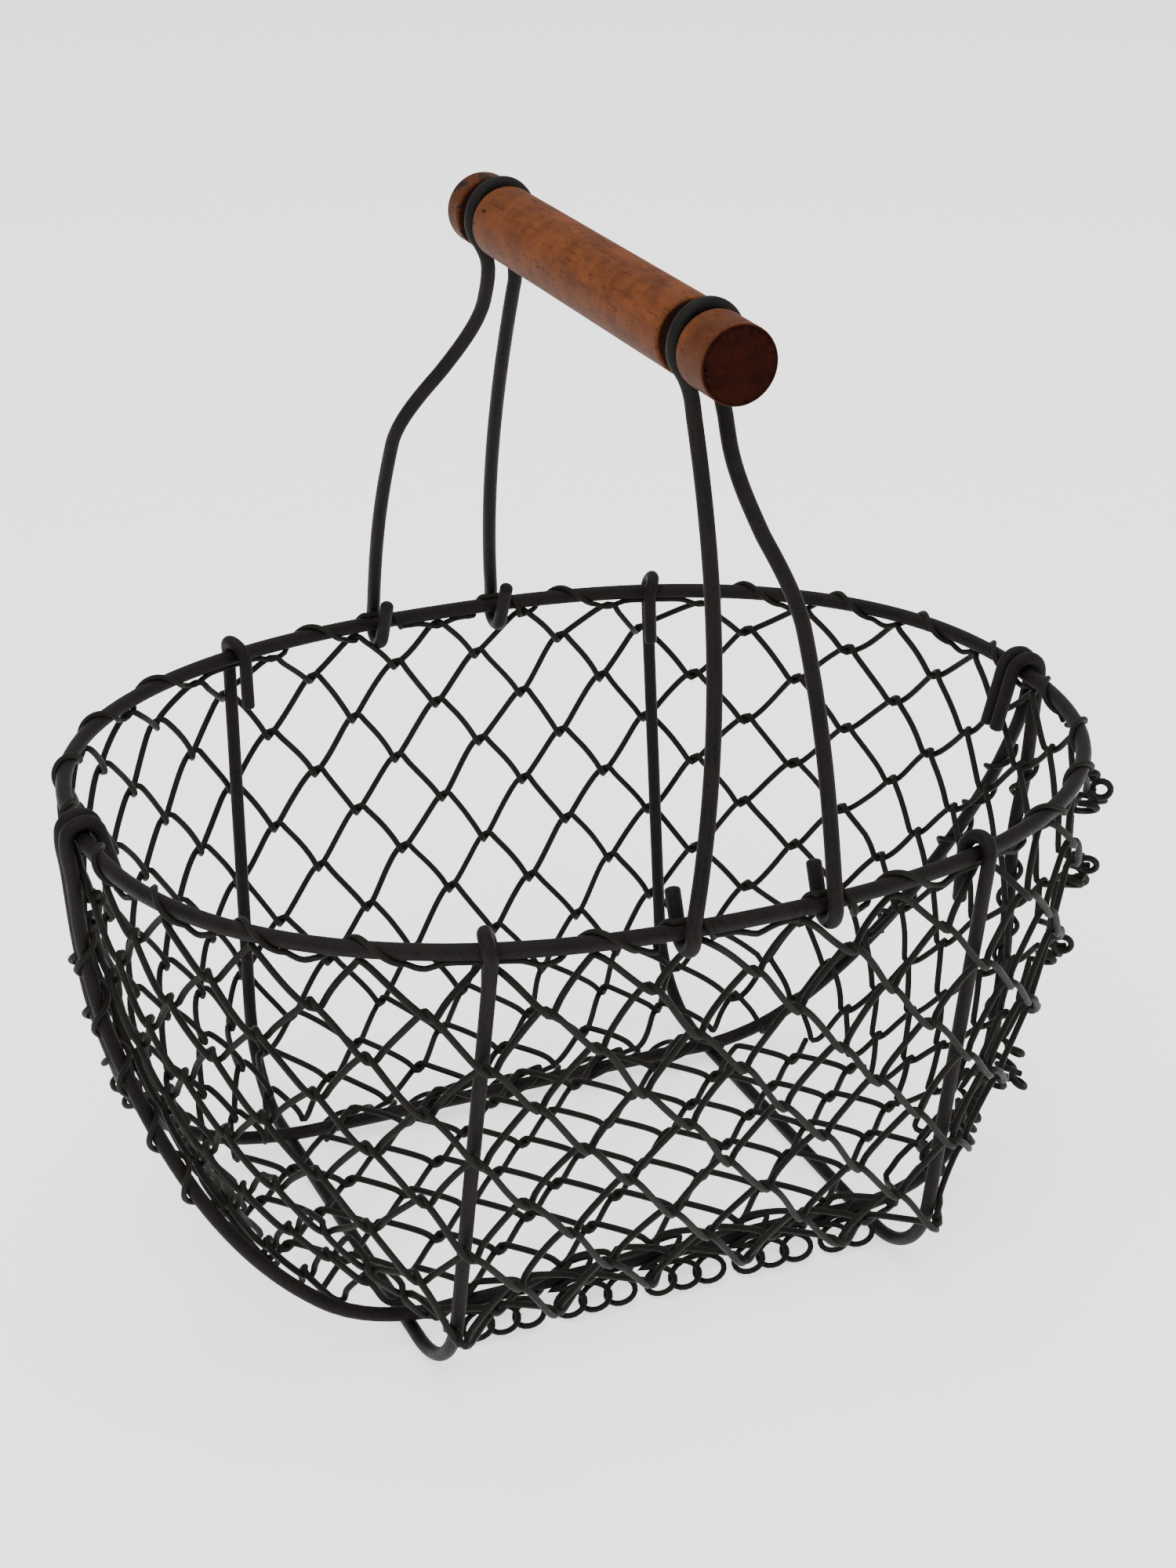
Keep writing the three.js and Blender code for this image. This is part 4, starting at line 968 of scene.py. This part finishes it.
LOOP_ARC = 130
LOOP_STEPS = 30
LOOP_PLAY = 0.0002
LOOP_SLACK = 0.0016          # the grip sinks into its loops, which stand up above it


def leg_sideways(side, back, t):
    """Sideways place of a bow's leg. One leg swings in early, as a power of what is left; the
    other bulges by half a sine, then bends in over its shoulder."""
    hook = side * HOOK_SPACING / 2
    neck = GRIP_SIDE + NECK_SHIFT + side * NECK_SPACING / 2
    if side != -back:
        return neck + (hook - neck) * (1 - t) ** SLANT_CURVE
    bulge = np.sin(np.pi * np.minimum(1, t / (SHOULDER_START + SHOULDER_SPAN / 2)))
    bend = smoothstep(t, SHOULDER_START, SHOULDER_START + SHOULDER_SPAN)
    return hook + side * SHOULDER_BULGE * bulge + (neck - hook) * bend


def bow_path(sizes, grip, back):
    """Hook under the rim, leg up to the neck, loop round the grip's groove, and down again. The
    loop is a circle whose upper half is raised by the cosine."""
    reach = (sizes.rim_wire + SOLID_WIRE) / 2 + PLAY
    hook_y = rim_edge(sizes, HOOK_SPACING / 2)
    neck_y = GROOVE_SPACING / 2 + back * GROOVE_SHIFT
    neck_z = GRIP_HEIGHT - NECK_DROP
    towards = hook_y - neck_y
    rise = neck_z - sizes.rim_height
    lean = math.atan2(towards, rise) + math.asin(reach / math.hypot(towards, rise))
    up = np.array([0, -back * math.sin(lean), math.cos(lean)])
    outward = np.array([0, back * math.cos(lean), math.sin(lean)])
    deep = up * HOOK_DEPTH[back]

    def leg(side):
        """Stub, half a turn under the rim, climb and waist. Across the basket and upwards the climb
        is straight."""
        axis = np.array([side * HOOK_SPACING / 2, back * hook_y, sizes.rim_height])
        wrap = arc(axis - deep, -outward, -up, reach, 180, BOW_WRAP_STEPS)
        foot = wrap[-1] + deep
        t = np.linspace(0, 1, BOW_LEG_STEPS + 1)[1:-1]
        climb = np.stack([
            leg_sideways(side, back, t),
            foot[1] + (back * neck_y - foot[1]) * t,
            foot[2] + (neck_z - foot[2]) * t,
        ], axis=1)
        stub = wrap[0] + up * BOW_STUB_SHARES[:, None] * HOOK_STUB[back]
        waist = [[GRIP_SIDE + side * NECK_SPACING / 2, back * neck_y, GRIP_HEIGHT - WAIST_DROP]]
        return np.concatenate([stub, wrap, climb, waist])

    radius = (grip.groove + sizes.bow_wire) / 2 + LOOP_PLAY
    angle = np.radians(LOOP_ARC) * np.linspace(-1, 1, LOOP_STEPS + 1)
    loop = np.stack([
        GRIP_SIDE + radius * np.sin(angle),
        np.full_like(angle, back * neck_y),
        GRIP_HEIGHT + radius * np.cos(angle) + LOOP_SLACK * np.maximum(np.cos(angle), 0),
    ], axis=1)
    return smooth_path(np.concatenate([leg(-1), loop, leg(1)[::-1]]), BOW_STEPS)


def grip_surface(sizes):
    """A turned profile of radius against length, carried round the grip's axis. Its edges are
    quarter circles, and each groove has a rounded lip and floor."""
    end = sizes.length / 2
    outer = sizes.diameter / 2
    inner = sizes.groove / 2
    half = sizes.groove_width / 2
    edge = sizes.edge
    turn = np.radians(np.linspace(0, 90, EDGE_POINTS))

    def corner(y, side):
        """Quarter circle from the flank at y to the outside."""
        return np.stack([
            outer - edge + edge * np.sin(turn), y + side * (edge - edge * np.cos(turn))], axis=1)

    def groove(middle):
        """Lip, quarter circle down to the floor, and the same mirrored."""
        floor = np.stack([
            inner + GROOVE_ROOT * (1 - np.sin(turn)),
            middle - half + GROOVE_ROOT * (1 - np.cos(turn))], axis=1)
        mirrored = np.stack([floor[::-1, 0], 2 * middle - floor[::-1, 1]], axis=1)
        return np.concatenate([corner(middle - half, -1)[::-1], floor, mirrored, corner(middle + half, 1)])

    first, last = (s * GROOVE_SPACING / 2 + GROOVE_SHIFT - GRIP_SHIFT + GROOVE_PLAY for s in (-1, 1))

    def run(low, high):
        """Straight run of the outside between two corners."""
        clear = edge * EDGE_CLEARANCE
        along = np.linspace(low + clear, high - clear, GRIP_RUN_POINTS)
        return np.stack([np.full_like(along, outer), along], axis=1)

    face = FACE_SHARES[:, None] * [[outer, 0.0]]
    profile = np.concatenate([
        face + [0, -end], corner(-end, 1), run(-end, first - half), groove(first),
        run(first + half, last - half), groove(last), run(last + half, end),
        corner(end, -1)[::-1], face[::-1] + [0, end]])
    angle = 2 * math.pi * np.arange(GRIP_SIDES) / GRIP_SIDES
    radius, along = profile[:, 0, None], profile[:, 1, None]
    ring = np.stack([radius * np.sin(angle), along + 0 * angle, radius * np.cos(angle)], axis=2)
    points = ring.reshape(-1, 3) + [GRIP_SIDE, GRIP_SHIFT, GRIP_HEIGHT]
    return points, ring_faces(len(profile), GRIP_SIDES)


# Finishes

def scaled(values, factor):
    """A darker or lighter colour, or shares of a size."""
    return tuple(value * factor for value in values)


class Value:
    """A number that varies over a surface. Python's own signs add Math nodes."""

    def __init__(self, finish, socket):
        self.finish = finish
        self.socket = socket

    def _math(self, operation, *inputs):
        """One Math node."""
        node = self.finish.node("ShaderNodeMath", {"operation": operation}, *inputs)
        return Value(self.finish, node.outputs[0])

    def __add__(self, other):
        return self._math("ADD", self, other)

    __radd__ = __add__

    def __sub__(self, other):
        return self._math("SUBTRACT", self, other)

    def __rsub__(self, other):
        return self._math("SUBTRACT", other, self)

    def __mul__(self, other):
        return self._math("MULTIPLY", self, other)

    __rmul__ = __mul__

    def absolute(self):
        return self._math("ABSOLUTE", self)

    def root(self):
        return self._math("SQRT", self)

    def sine(self):
        return self._math("SINE", self)

    def above(self, level, width):
        """0 below a level, 1 above it, with a soft edge."""
        node = self.finish.node(
            "ShaderNodeMapRange", {"interpolation_type": "SMOOTHSTEP"},
            Value=self, **{"From Min": level - width / 2, "From Max": level + width / 2})
        return Value(self.finish, node.outputs["Result"])


class Finish:
    """A material being made: one Principled surface and the nodes that feed it."""

    def __init__(self, name):
        self.material = bpy.data.materials.new(name)
        self.material.use_nodes = True
        self.tree = self.material.node_tree
        self.tree.nodes.clear()
        self.surface = self.node("ShaderNodeBsdfPrincipled")
        output = self.node("ShaderNodeOutputMaterial")
        self.tree.links.new(self.surface.outputs[0], output.inputs["Surface"])
        self.object_place = self.node("ShaderNodeTexCoord").outputs["Object"]

    def node(self, kind, settings=None, *values, **named):
        """Any node: settings first, then the values or links of its sockets."""
        node = self.tree.nodes.new(kind)
        for key, value in (settings or {}).items():
            setattr(node, key, value)
        for key, value in list(enumerate(values)) + list(named.items()):
            self.feed(node.inputs[key], value)
        return node

    def feed(self, socket, value):
        """Links a socket or sets its value."""
        source = value.socket if isinstance(value, Value) else value
        if isinstance(source, bpy.types.NodeSocket):
            self.tree.links.new(source, socket)
        elif socket.type == "RGBA":
            socket.default_value = (*source, 1.0)
        else:
            socket.default_value = source

    def placed(self, centre, scale):
        """Object coordinates from a centre, stretched."""
        node = self.node(
            "ShaderNodeMapping", Vector=self.object_place, Scale=scale,
            Location=tuple(-c * s for c, s in zip(centre, scale)))
        return node.outputs[0]

    def noise(self, scale, detail=3.0, roughness=0.5, place=None):
        """A cloudy pattern between 0 and 1."""
        node = self.node(
            "ShaderNodeTexNoise", Vector=place or self.object_place, Scale=scale,
            Detail=detail, Roughness=roughness)
        return Value(self, node.outputs["Fac"])

    def parts(self, place):
        """The three numbers of a vector."""
        node = self.node("ShaderNodeSeparateXYZ", Vector=place)
        return [Value(self, socket) for socket in node.outputs]

    def mix(self, factor, first, second):
        """A colour between two."""
        node = self.node("ShaderNodeMix", {"data_type": "RGBA"})
        sockets = {socket.identifier: socket for socket in node.inputs}
        self.feed(sockets["Factor_Float"], factor)
        self.feed(sockets["A_Color"], first)
        self.feed(sockets["B_Color"], second)
        return next(s for s in node.outputs if s.identifier == "Result_Color")

    def bump(self, height, distance, strength):
        """Fine relief in the shading."""
        node = self.node("ShaderNodeBump", Height=height, Distance=distance, Strength=strength)
        self.feed(self.surface.inputs["Normal"], node.outputs[0])

    def set(self, **values):
        """Sets or links sockets of the surface, with _ for a space in their names."""
        for key, value in values.items():
            self.feed(self.surface.inputs[key.replace("_", " ")], value)


FRAME_COAT = 90.0            # patches of the coat to a metre
NET_COAT = 160.0
WIRE_RELIEF = 0.00012
WIRE_GLOSS = 0.12
WOOD_RELIEF = 0.00022
WOOD_GLOSS = 0.06


def painted_wire(name, dark, light, coat_scale):
    """Matt brown-black coat on steel wire: a dusty film in soft patches, darker pits, and a fine
    orange-peel surface."""
    finish = Finish(name)
    patches = finish.noise(coat_scale, 4.0, 0.6).above(0.5, 0.35)
    grit = finish.noise(coat_scale * 14, 2.0, 0.6).above(0.52, 0.30)
    pits = finish.noise(coat_scale * 6, 3.0, 0.7).above(0.66, 0.08)
    film = patches * 0.55 + grit * 0.35
    base = finish.mix(film, tuple(dark), tuple(light))
    base = finish.mix(pits * 0.6, base, scaled(dark, 0.35))
    finish.set(Base_Color=base, Roughness=0.50 + film * 0.22 + pits * 0.1, Specular_IOR_Level=WIRE_GLOSS)
    finish.bump(grit * 0.5 + patches * 0.7 - pits * 1.2, WIRE_RELIEF, 0.8)
    return finish.material


FAR_END = (0.38, 0.16)       # place and softness of a change along the grip, as shares of its length
# place and softness of a darkening towards the far end of the grip
FAR_PART_DARKENING = (0.30, 0.34)
STUBS = (0.42, 0.06)
PAINTED_SHADE_BELOW = (0.08, 0.75)    # painted shade on the lower side: the same downwards, as shares of its thickness
GROOVE_DEPTH = 0.0007        # the painted shade of a groove begins this far under the outside
GROOVE_SOFTNESS = 0.0008
FACE_DEPTH = 0.00035
FACE_SOFTNESS = 0.0004
PITH = (-0.004, 0.003)
RING_WAVES = 4200.0          # radians of the rings' wave to a metre
RING_WANDER = 0.0022


def turned_wood(name, colours, sizes):
    """Stained dowel: cloudy stain, fine pores and streaks along the grain, a few dark knots and
    nicks near the far end, darker beyond the grooves, painted shade underneath and on the floors
    of the grooves, and rings of end grain on the two faces."""
    finish = Finish(name)

    def place(along=1.0):
        """From the grip's middle, drawn out along the grain by a scale under one."""
        middle = (GRIP_SIDE + SHIFT[0], GRIP_SHIFT + SHIFT[1], GRIP_HEIGHT)
        return finish.placed(middle, (1.0, along, 1.0))

    x, y, z = finish.parts(place())
    clouds = finish.noise(120.0, 5.0, 0.65, place())
    streaks = finish.noise(420.0, 4.0, 0.6, place(0.07))
    pores = finish.noise(1100.0, 2.0, 0.6, place(0.16)).above(0.64, 0.08)
    flecks = finish.noise(190.0, 3.0, 0.7, place(0.45))
    far_end = y.above(*scaled(FAR_END, sizes.length))
    nicks = (flecks + far_end * 0.15).above(0.71, 0.05)
    tone = clouds.above(0.48, 0.42) * 0.65 + streaks.above(0.5, 0.4) * 0.35
    base = finish.mix(tone, tuple(colours.dark_wood_grain_and_shade), tuple(colours.wood_light))
    # darker towards the far end of the grip
    darker_far_part = y.above(*scaled(FAR_PART_DARKENING, sizes.length))
    stubs = y.absolute().above(*scaled(STUBS, sizes.length))
    # painted shade: the lower side of the grip is coloured darker
    painted_shade_underneath = (z * -1.0).above(*scaled(PAINTED_SHADE_BELOW, sizes.diameter))
    # darker mixes; the one for the lower side is painted shade
    for mask, shade in (
        (darker_far_part * 0.35, 1.0), (stubs * 0.45, 0.45), (painted_shade_underneath * 0.55, 0.45),
        (pores * 0.45, 0.35), (nicks * 0.9, 0.22),
    ):
        base = finish.mix(mask, base, scaled(colours.dark_wood_grain_and_shade, shade))
    radius = (x * x + z * z).root()
    # painted shade on the floor of each groove
    groove = (radius * -1.0).above(GROOVE_DEPTH - sizes.diameter / 2, GROOVE_SOFTNESS)
    end = y.absolute().above(sizes.length / 2 - FACE_DEPTH, FACE_SOFTNESS)
    off_x, off_z = x - PITH[0], z - PITH[1]
    pith = (off_x * off_x + off_z * off_z).root()
    wander = finish.noise(160.0, 2.0, 0.5, place()) * RING_WANDER
    ring_tone = ((pith + wander) * RING_WAVES).sine() * 0.5 + 0.5
    blotch = finish.noise(260.0, 3.0, 0.6, place()).above(0.5, 0.4)
    end_colour = finish.mix(ring_tone * 0.10 + blotch * 0.45, scaled(colours.wood_end, 0.45),
                            scaled(colours.wood_end, 1.35))
    # painted shade: the groove floors take a dark colour
    base = finish.mix(groove * (1 - end), base, tuple(colours.wood_groove_shade))
    base = finish.mix(end, base, end_colour)
    finish.set(Base_Color=base, Roughness=0.50 + streaks * 0.16 + end * 0.22 + groove * 0.12,
               Specular_IOR_Level=WOOD_GLOSS)
    finish.bump(streaks * 0.5 - pores * 0.9 - nicks * 1.5 + end * blotch * 0.8, WOOD_RELIEF, 0.7)
    return finish.material


def finish_named(name):
    """A finish is made once and shared by its pieces."""
    found = bpy.data.materials.get(name)
    if found:
        return found
    colours = bpy.context.scene.basket_finish
    if name == FRAME_FINISH:
        return painted_wire(name, colours.paint_dark, colours.paint_light, FRAME_COAT)
    if name == NET_FINISH:
        return painted_wire(name, colours.net_dark, colours.net_light, NET_COAT)
    return turned_wood(name, colours, bpy.context.scene.basket_grip)


# Operators

class BASKET_OT_frame_wires(bpy.types.Operator):
    """Rim hoop, two cross ribs and two lengthwise wires."""

    bl_idname = "basket.frame_wires"
    bl_label = "Frame wires"

    def execute(self, context):
        sizes = context.scene.basket_frame
        wall = Wall(sizes)
        add_thick_wire("rim_hoop", rim_path(sizes), sizes.rim_wire, closed=True)
        for side, name in SIDES:
            add_thick_wire(f"cross_rib_{name}", rib_path(sizes, side), sizes.rib_wire)
        for back, name in BACKS:
            path = lengthwise_path(sizes, wall, back)
            add_thick_wire(f"lengthwise_wire_{name}", path, sizes.lengthwise_wire)
        return {"FINISHED"}


class BASKET_OT_wall_net(bpy.types.Operator):
    """The strands of the wall, hooked into each other."""

    bl_idname = "basket.wall_net"
    bl_label = "Wall net"

    def execute(self, context):
        scene = context.scene
        sizes = scene.basket_net
        wall = Wall(scene.basket_frame)
        thick = thick_wires(scene.basket_frame, wall)
        for row in range(NET_ROWS):
            path = kept_clear(wall_strand_path(wall, sizes, row), thick, sizes.wire)
            add_thin_wire(f"wall_strand_{row + 1:02d}", path, sizes.wire)
        return {"FINISHED"}


class BASKET_OT_base_net(bpy.types.Operator):
    """The strands of the base."""

    bl_idname = "basket.base_net"
    bl_label = "Base net"

    def execute(self, context):
        scene = context.scene
        sizes = scene.basket_net
        wall = Wall(scene.basket_frame)
        for row in range(BASE_ROWS):
            path = base_strand_path(scene.basket_frame, sizes, wall, row)
            add_thin_wire(f"base_strand_{row + 1}", path, sizes.wire)
        return {"FINISHED"}


class BASKET_OT_windings(bpy.types.Operator):
    """Thin wires wound round the rim, the base wires and the end wires."""

    bl_idname = "basket.windings"
    bl_label = "Windings"

    def execute(self, context):
        scene = context.scene
        frame_sizes = scene.basket_frame
        sizes = scene.basket_windings
        wall = Wall(frame_sizes)
        add_thin_wire("rim_binding", rim_binding_path(wall, sizes, frame_sizes.rim_wire), sizes.wire)
        for back, name in BACKS:
            add_thin_wire(f"base_lacing_{name}", base_lacing_path(frame_sizes, sizes, back), sizes.wire)
            wire = lengthwise_path(frame_sizes, wall, back)
            for side, end in SIDES:
                path = end_lacing_path(wire, side, sizes, frame_sizes.lengthwise_wire)
                add_thin_wire(f"end_lacing_{end}_{name}", path, sizes.wire)
        return {"FINISHED"}


class BASKET_OT_handle_bows(bpy.types.Operator):
    """The two bent bows that carry the grip."""

    bl_idname = "basket.handle_bows"
    bl_label = "Handle bows"

    def execute(self, context):
        scene = context.scene
        sizes = scene.basket_frame
        for back, name in BACKS:
            path = bow_path(sizes, scene.basket_grip, back)
            add_thick_wire(f"handle_bow_{name}", path, sizes.bow_wire, f"{name}_bow")
        return {"FINISHED"}


class BASKET_OT_grip(bpy.types.Operator):
    """The turned grip."""

    bl_idname = "basket.grip"
    bl_label = "Wooden grip"

    def execute(self, context):
        add_piece("turned_grip", grip_surface(context.scene.basket_grip), finish_named(WOOD_FINISH),
                  "grip", "wooden_grip")
        return {"FINISHED"}


FLOOR_HALF = 6.0
FLOOR_DROP = 0.0002
FLOOR_GLOW = 1.3             # the sheet is lit from below, as on a light table
SKY_STRENGTH = 0.80
LIGHTS_AIM = (0.0, 0.0, 0.12)
LIGHTS = {                   # place, watts and width
    "key_light": ((-0.9, -0.9, 1.7), 24.0, 1.2),
    "fill_light": ((1.3, -0.8, 1.1), 8.0, 1.4),
    "top_light": ((0.1, 0.5, 2.0), 18.0, 1.6),
}
CAMERA_PLACE = (-0.3389, -0.7928, 0.5444)
CAMERA_YAW = 0.4070
CAMERA_PITCH = 0.4310
CAMERA_LENS = 69.08
CAMERA_SENSOR = 36.0
CAMERA_REACH = 50.0


class BASKET_OT_stage(bpy.types.Operator):
    """Floor, soft lights and the camera."""

    bl_idname = "basket.stage"
    bl_label = "Stage"

    def execute(self, context):
        colours = context.scene.basket_finish
        self.floor(context.scene, tuple(colours.floor))
        self.lights(context.scene, colours.light)
        self.camera(context.scene)
        return {"FINISHED"}

    def floor(self, scene, pale):
        """A wide level sheet just under the basket."""
        mesh = bpy.data.meshes.new("studio_floor")
        signs = ((-1, -1), (1, -1), (1, 1), (-1, 1))
        corners = [(x * FLOOR_HALF, y * FLOOR_HALF, -FLOOR_DROP) for x, y in signs]
        mesh.from_pydata(corners, [], [(0, 1, 2, 3)])
        finish = Finish("studio_floor_paper")
        tone = finish.noise(3.0, 2.0).above(0.5, 0.8)
        finish.set(Base_Color=finish.mix(tone, scaled(pale, 0.985), pale), Roughness=0.9,
                   Emission_Color=pale, Emission_Strength=FLOOR_GLOW)
        mesh.materials.append(finish.material)
        floor = bpy.data.objects.new("studio_floor", mesh)
        scene.collection.objects.link(floor)

    def lights(self, scene, strength):
        """A bright even sky and three large soft lights."""
        world = bpy.data.worlds.new("studio_sky")
        world.use_nodes = True
        sky = world.node_tree.nodes["Background"]
        sky.inputs["Color"].default_value = (1.0, 1.0, 1.0, 1.0)
        sky.inputs["Strength"].default_value = SKY_STRENGTH * strength
        scene.world = world
        for name, (place, watts, wide) in LIGHTS.items():
            data = bpy.data.lights.new(name, "AREA")
            data.energy = watts * strength
            data.size = wide
            lamp = bpy.data.objects.new(name, data)
            lamp.location = place
            aim = np.array(LIGHTS_AIM) - place
            flat = math.hypot(aim[0], aim[1])
            lamp.rotation_euler = (math.atan2(flat, -aim[2]), 0.0, math.atan2(-aim[0], aim[1]))
            scene.collection.objects.link(lamp)

    def camera(self, scene):
        """The photograph's viewpoint, worked out from the rim, the ribs and the grip."""
        data = bpy.data.cameras.new("photo_camera")
        data.lens = CAMERA_LENS
        data.sensor_width = CAMERA_SENSOR
        data.clip_end = CAMERA_REACH
        camera = bpy.data.objects.new("photo_camera", data)
        camera.location = CAMERA_PLACE
        camera.rotation_euler = (math.pi / 2 - CAMERA_PITCH, 0.0, -CAMERA_YAW)
        scene.collection.objects.link(camera)
        scene.camera = camera


class BASKET_PT_panel(bpy.types.Panel):
    """Lists the basket's pieces and sizes."""

    bl_idname = "BASKET_PT_panel"
    bl_label = "Wire storage basket"
    bl_space_type = "VIEW_3D"
    bl_region_type = "UI"
    bl_category = "Basket"

    def draw(self, context):
        for operator in OPERATORS:
            self.layout.operator(operator.bl_idname)
        for name, group in GROUPS.items():
            box = self.layout.box()
            settings = getattr(context.scene, name)
            for key in group.__annotations__:
                box.prop(settings, key)


OPERATORS = (
    BASKET_OT_frame_wires,
    BASKET_OT_wall_net,
    BASKET_OT_base_net,
    BASKET_OT_windings,
    BASKET_OT_handle_bows,
    BASKET_OT_grip,
    BASKET_OT_stage,
)
GROUPS = {
    "basket_frame": BasketFrameSizes,
    "basket_net": BasketNetSizes,
    "basket_windings": BasketWindingSizes,
    "basket_grip": BasketGripSizes,
    "basket_finish": BasketFinish,
}
CLASSES = (*GROUPS.values(), *OPERATORS, BASKET_PT_panel)


def register():
    """Adds the classes, and the settings to the scene."""
    for cls in CLASSES:
        bpy.utils.register_class(cls)
    for name, group in GROUPS.items():
        setattr(bpy.types.Scene, name, PointerProperty(type=group))


def unregister():
    """Takes them off again."""
    for name in GROUPS:
        delattr(bpy.types.Scene, name)
    for cls in reversed(CLASSES):
        bpy.utils.unregister_class(cls)


def main():
    """Makes every piece."""
    register()
    bpy.ops.basket.stage()
    bpy.ops.basket.frame_wires()
    bpy.ops.basket.wall_net()
    bpy.ops.basket.base_net()
    bpy.ops.basket.windings()
    bpy.ops.basket.handle_bows()
    bpy.ops.basket.grip()


if __name__ == "__main__":
    main()
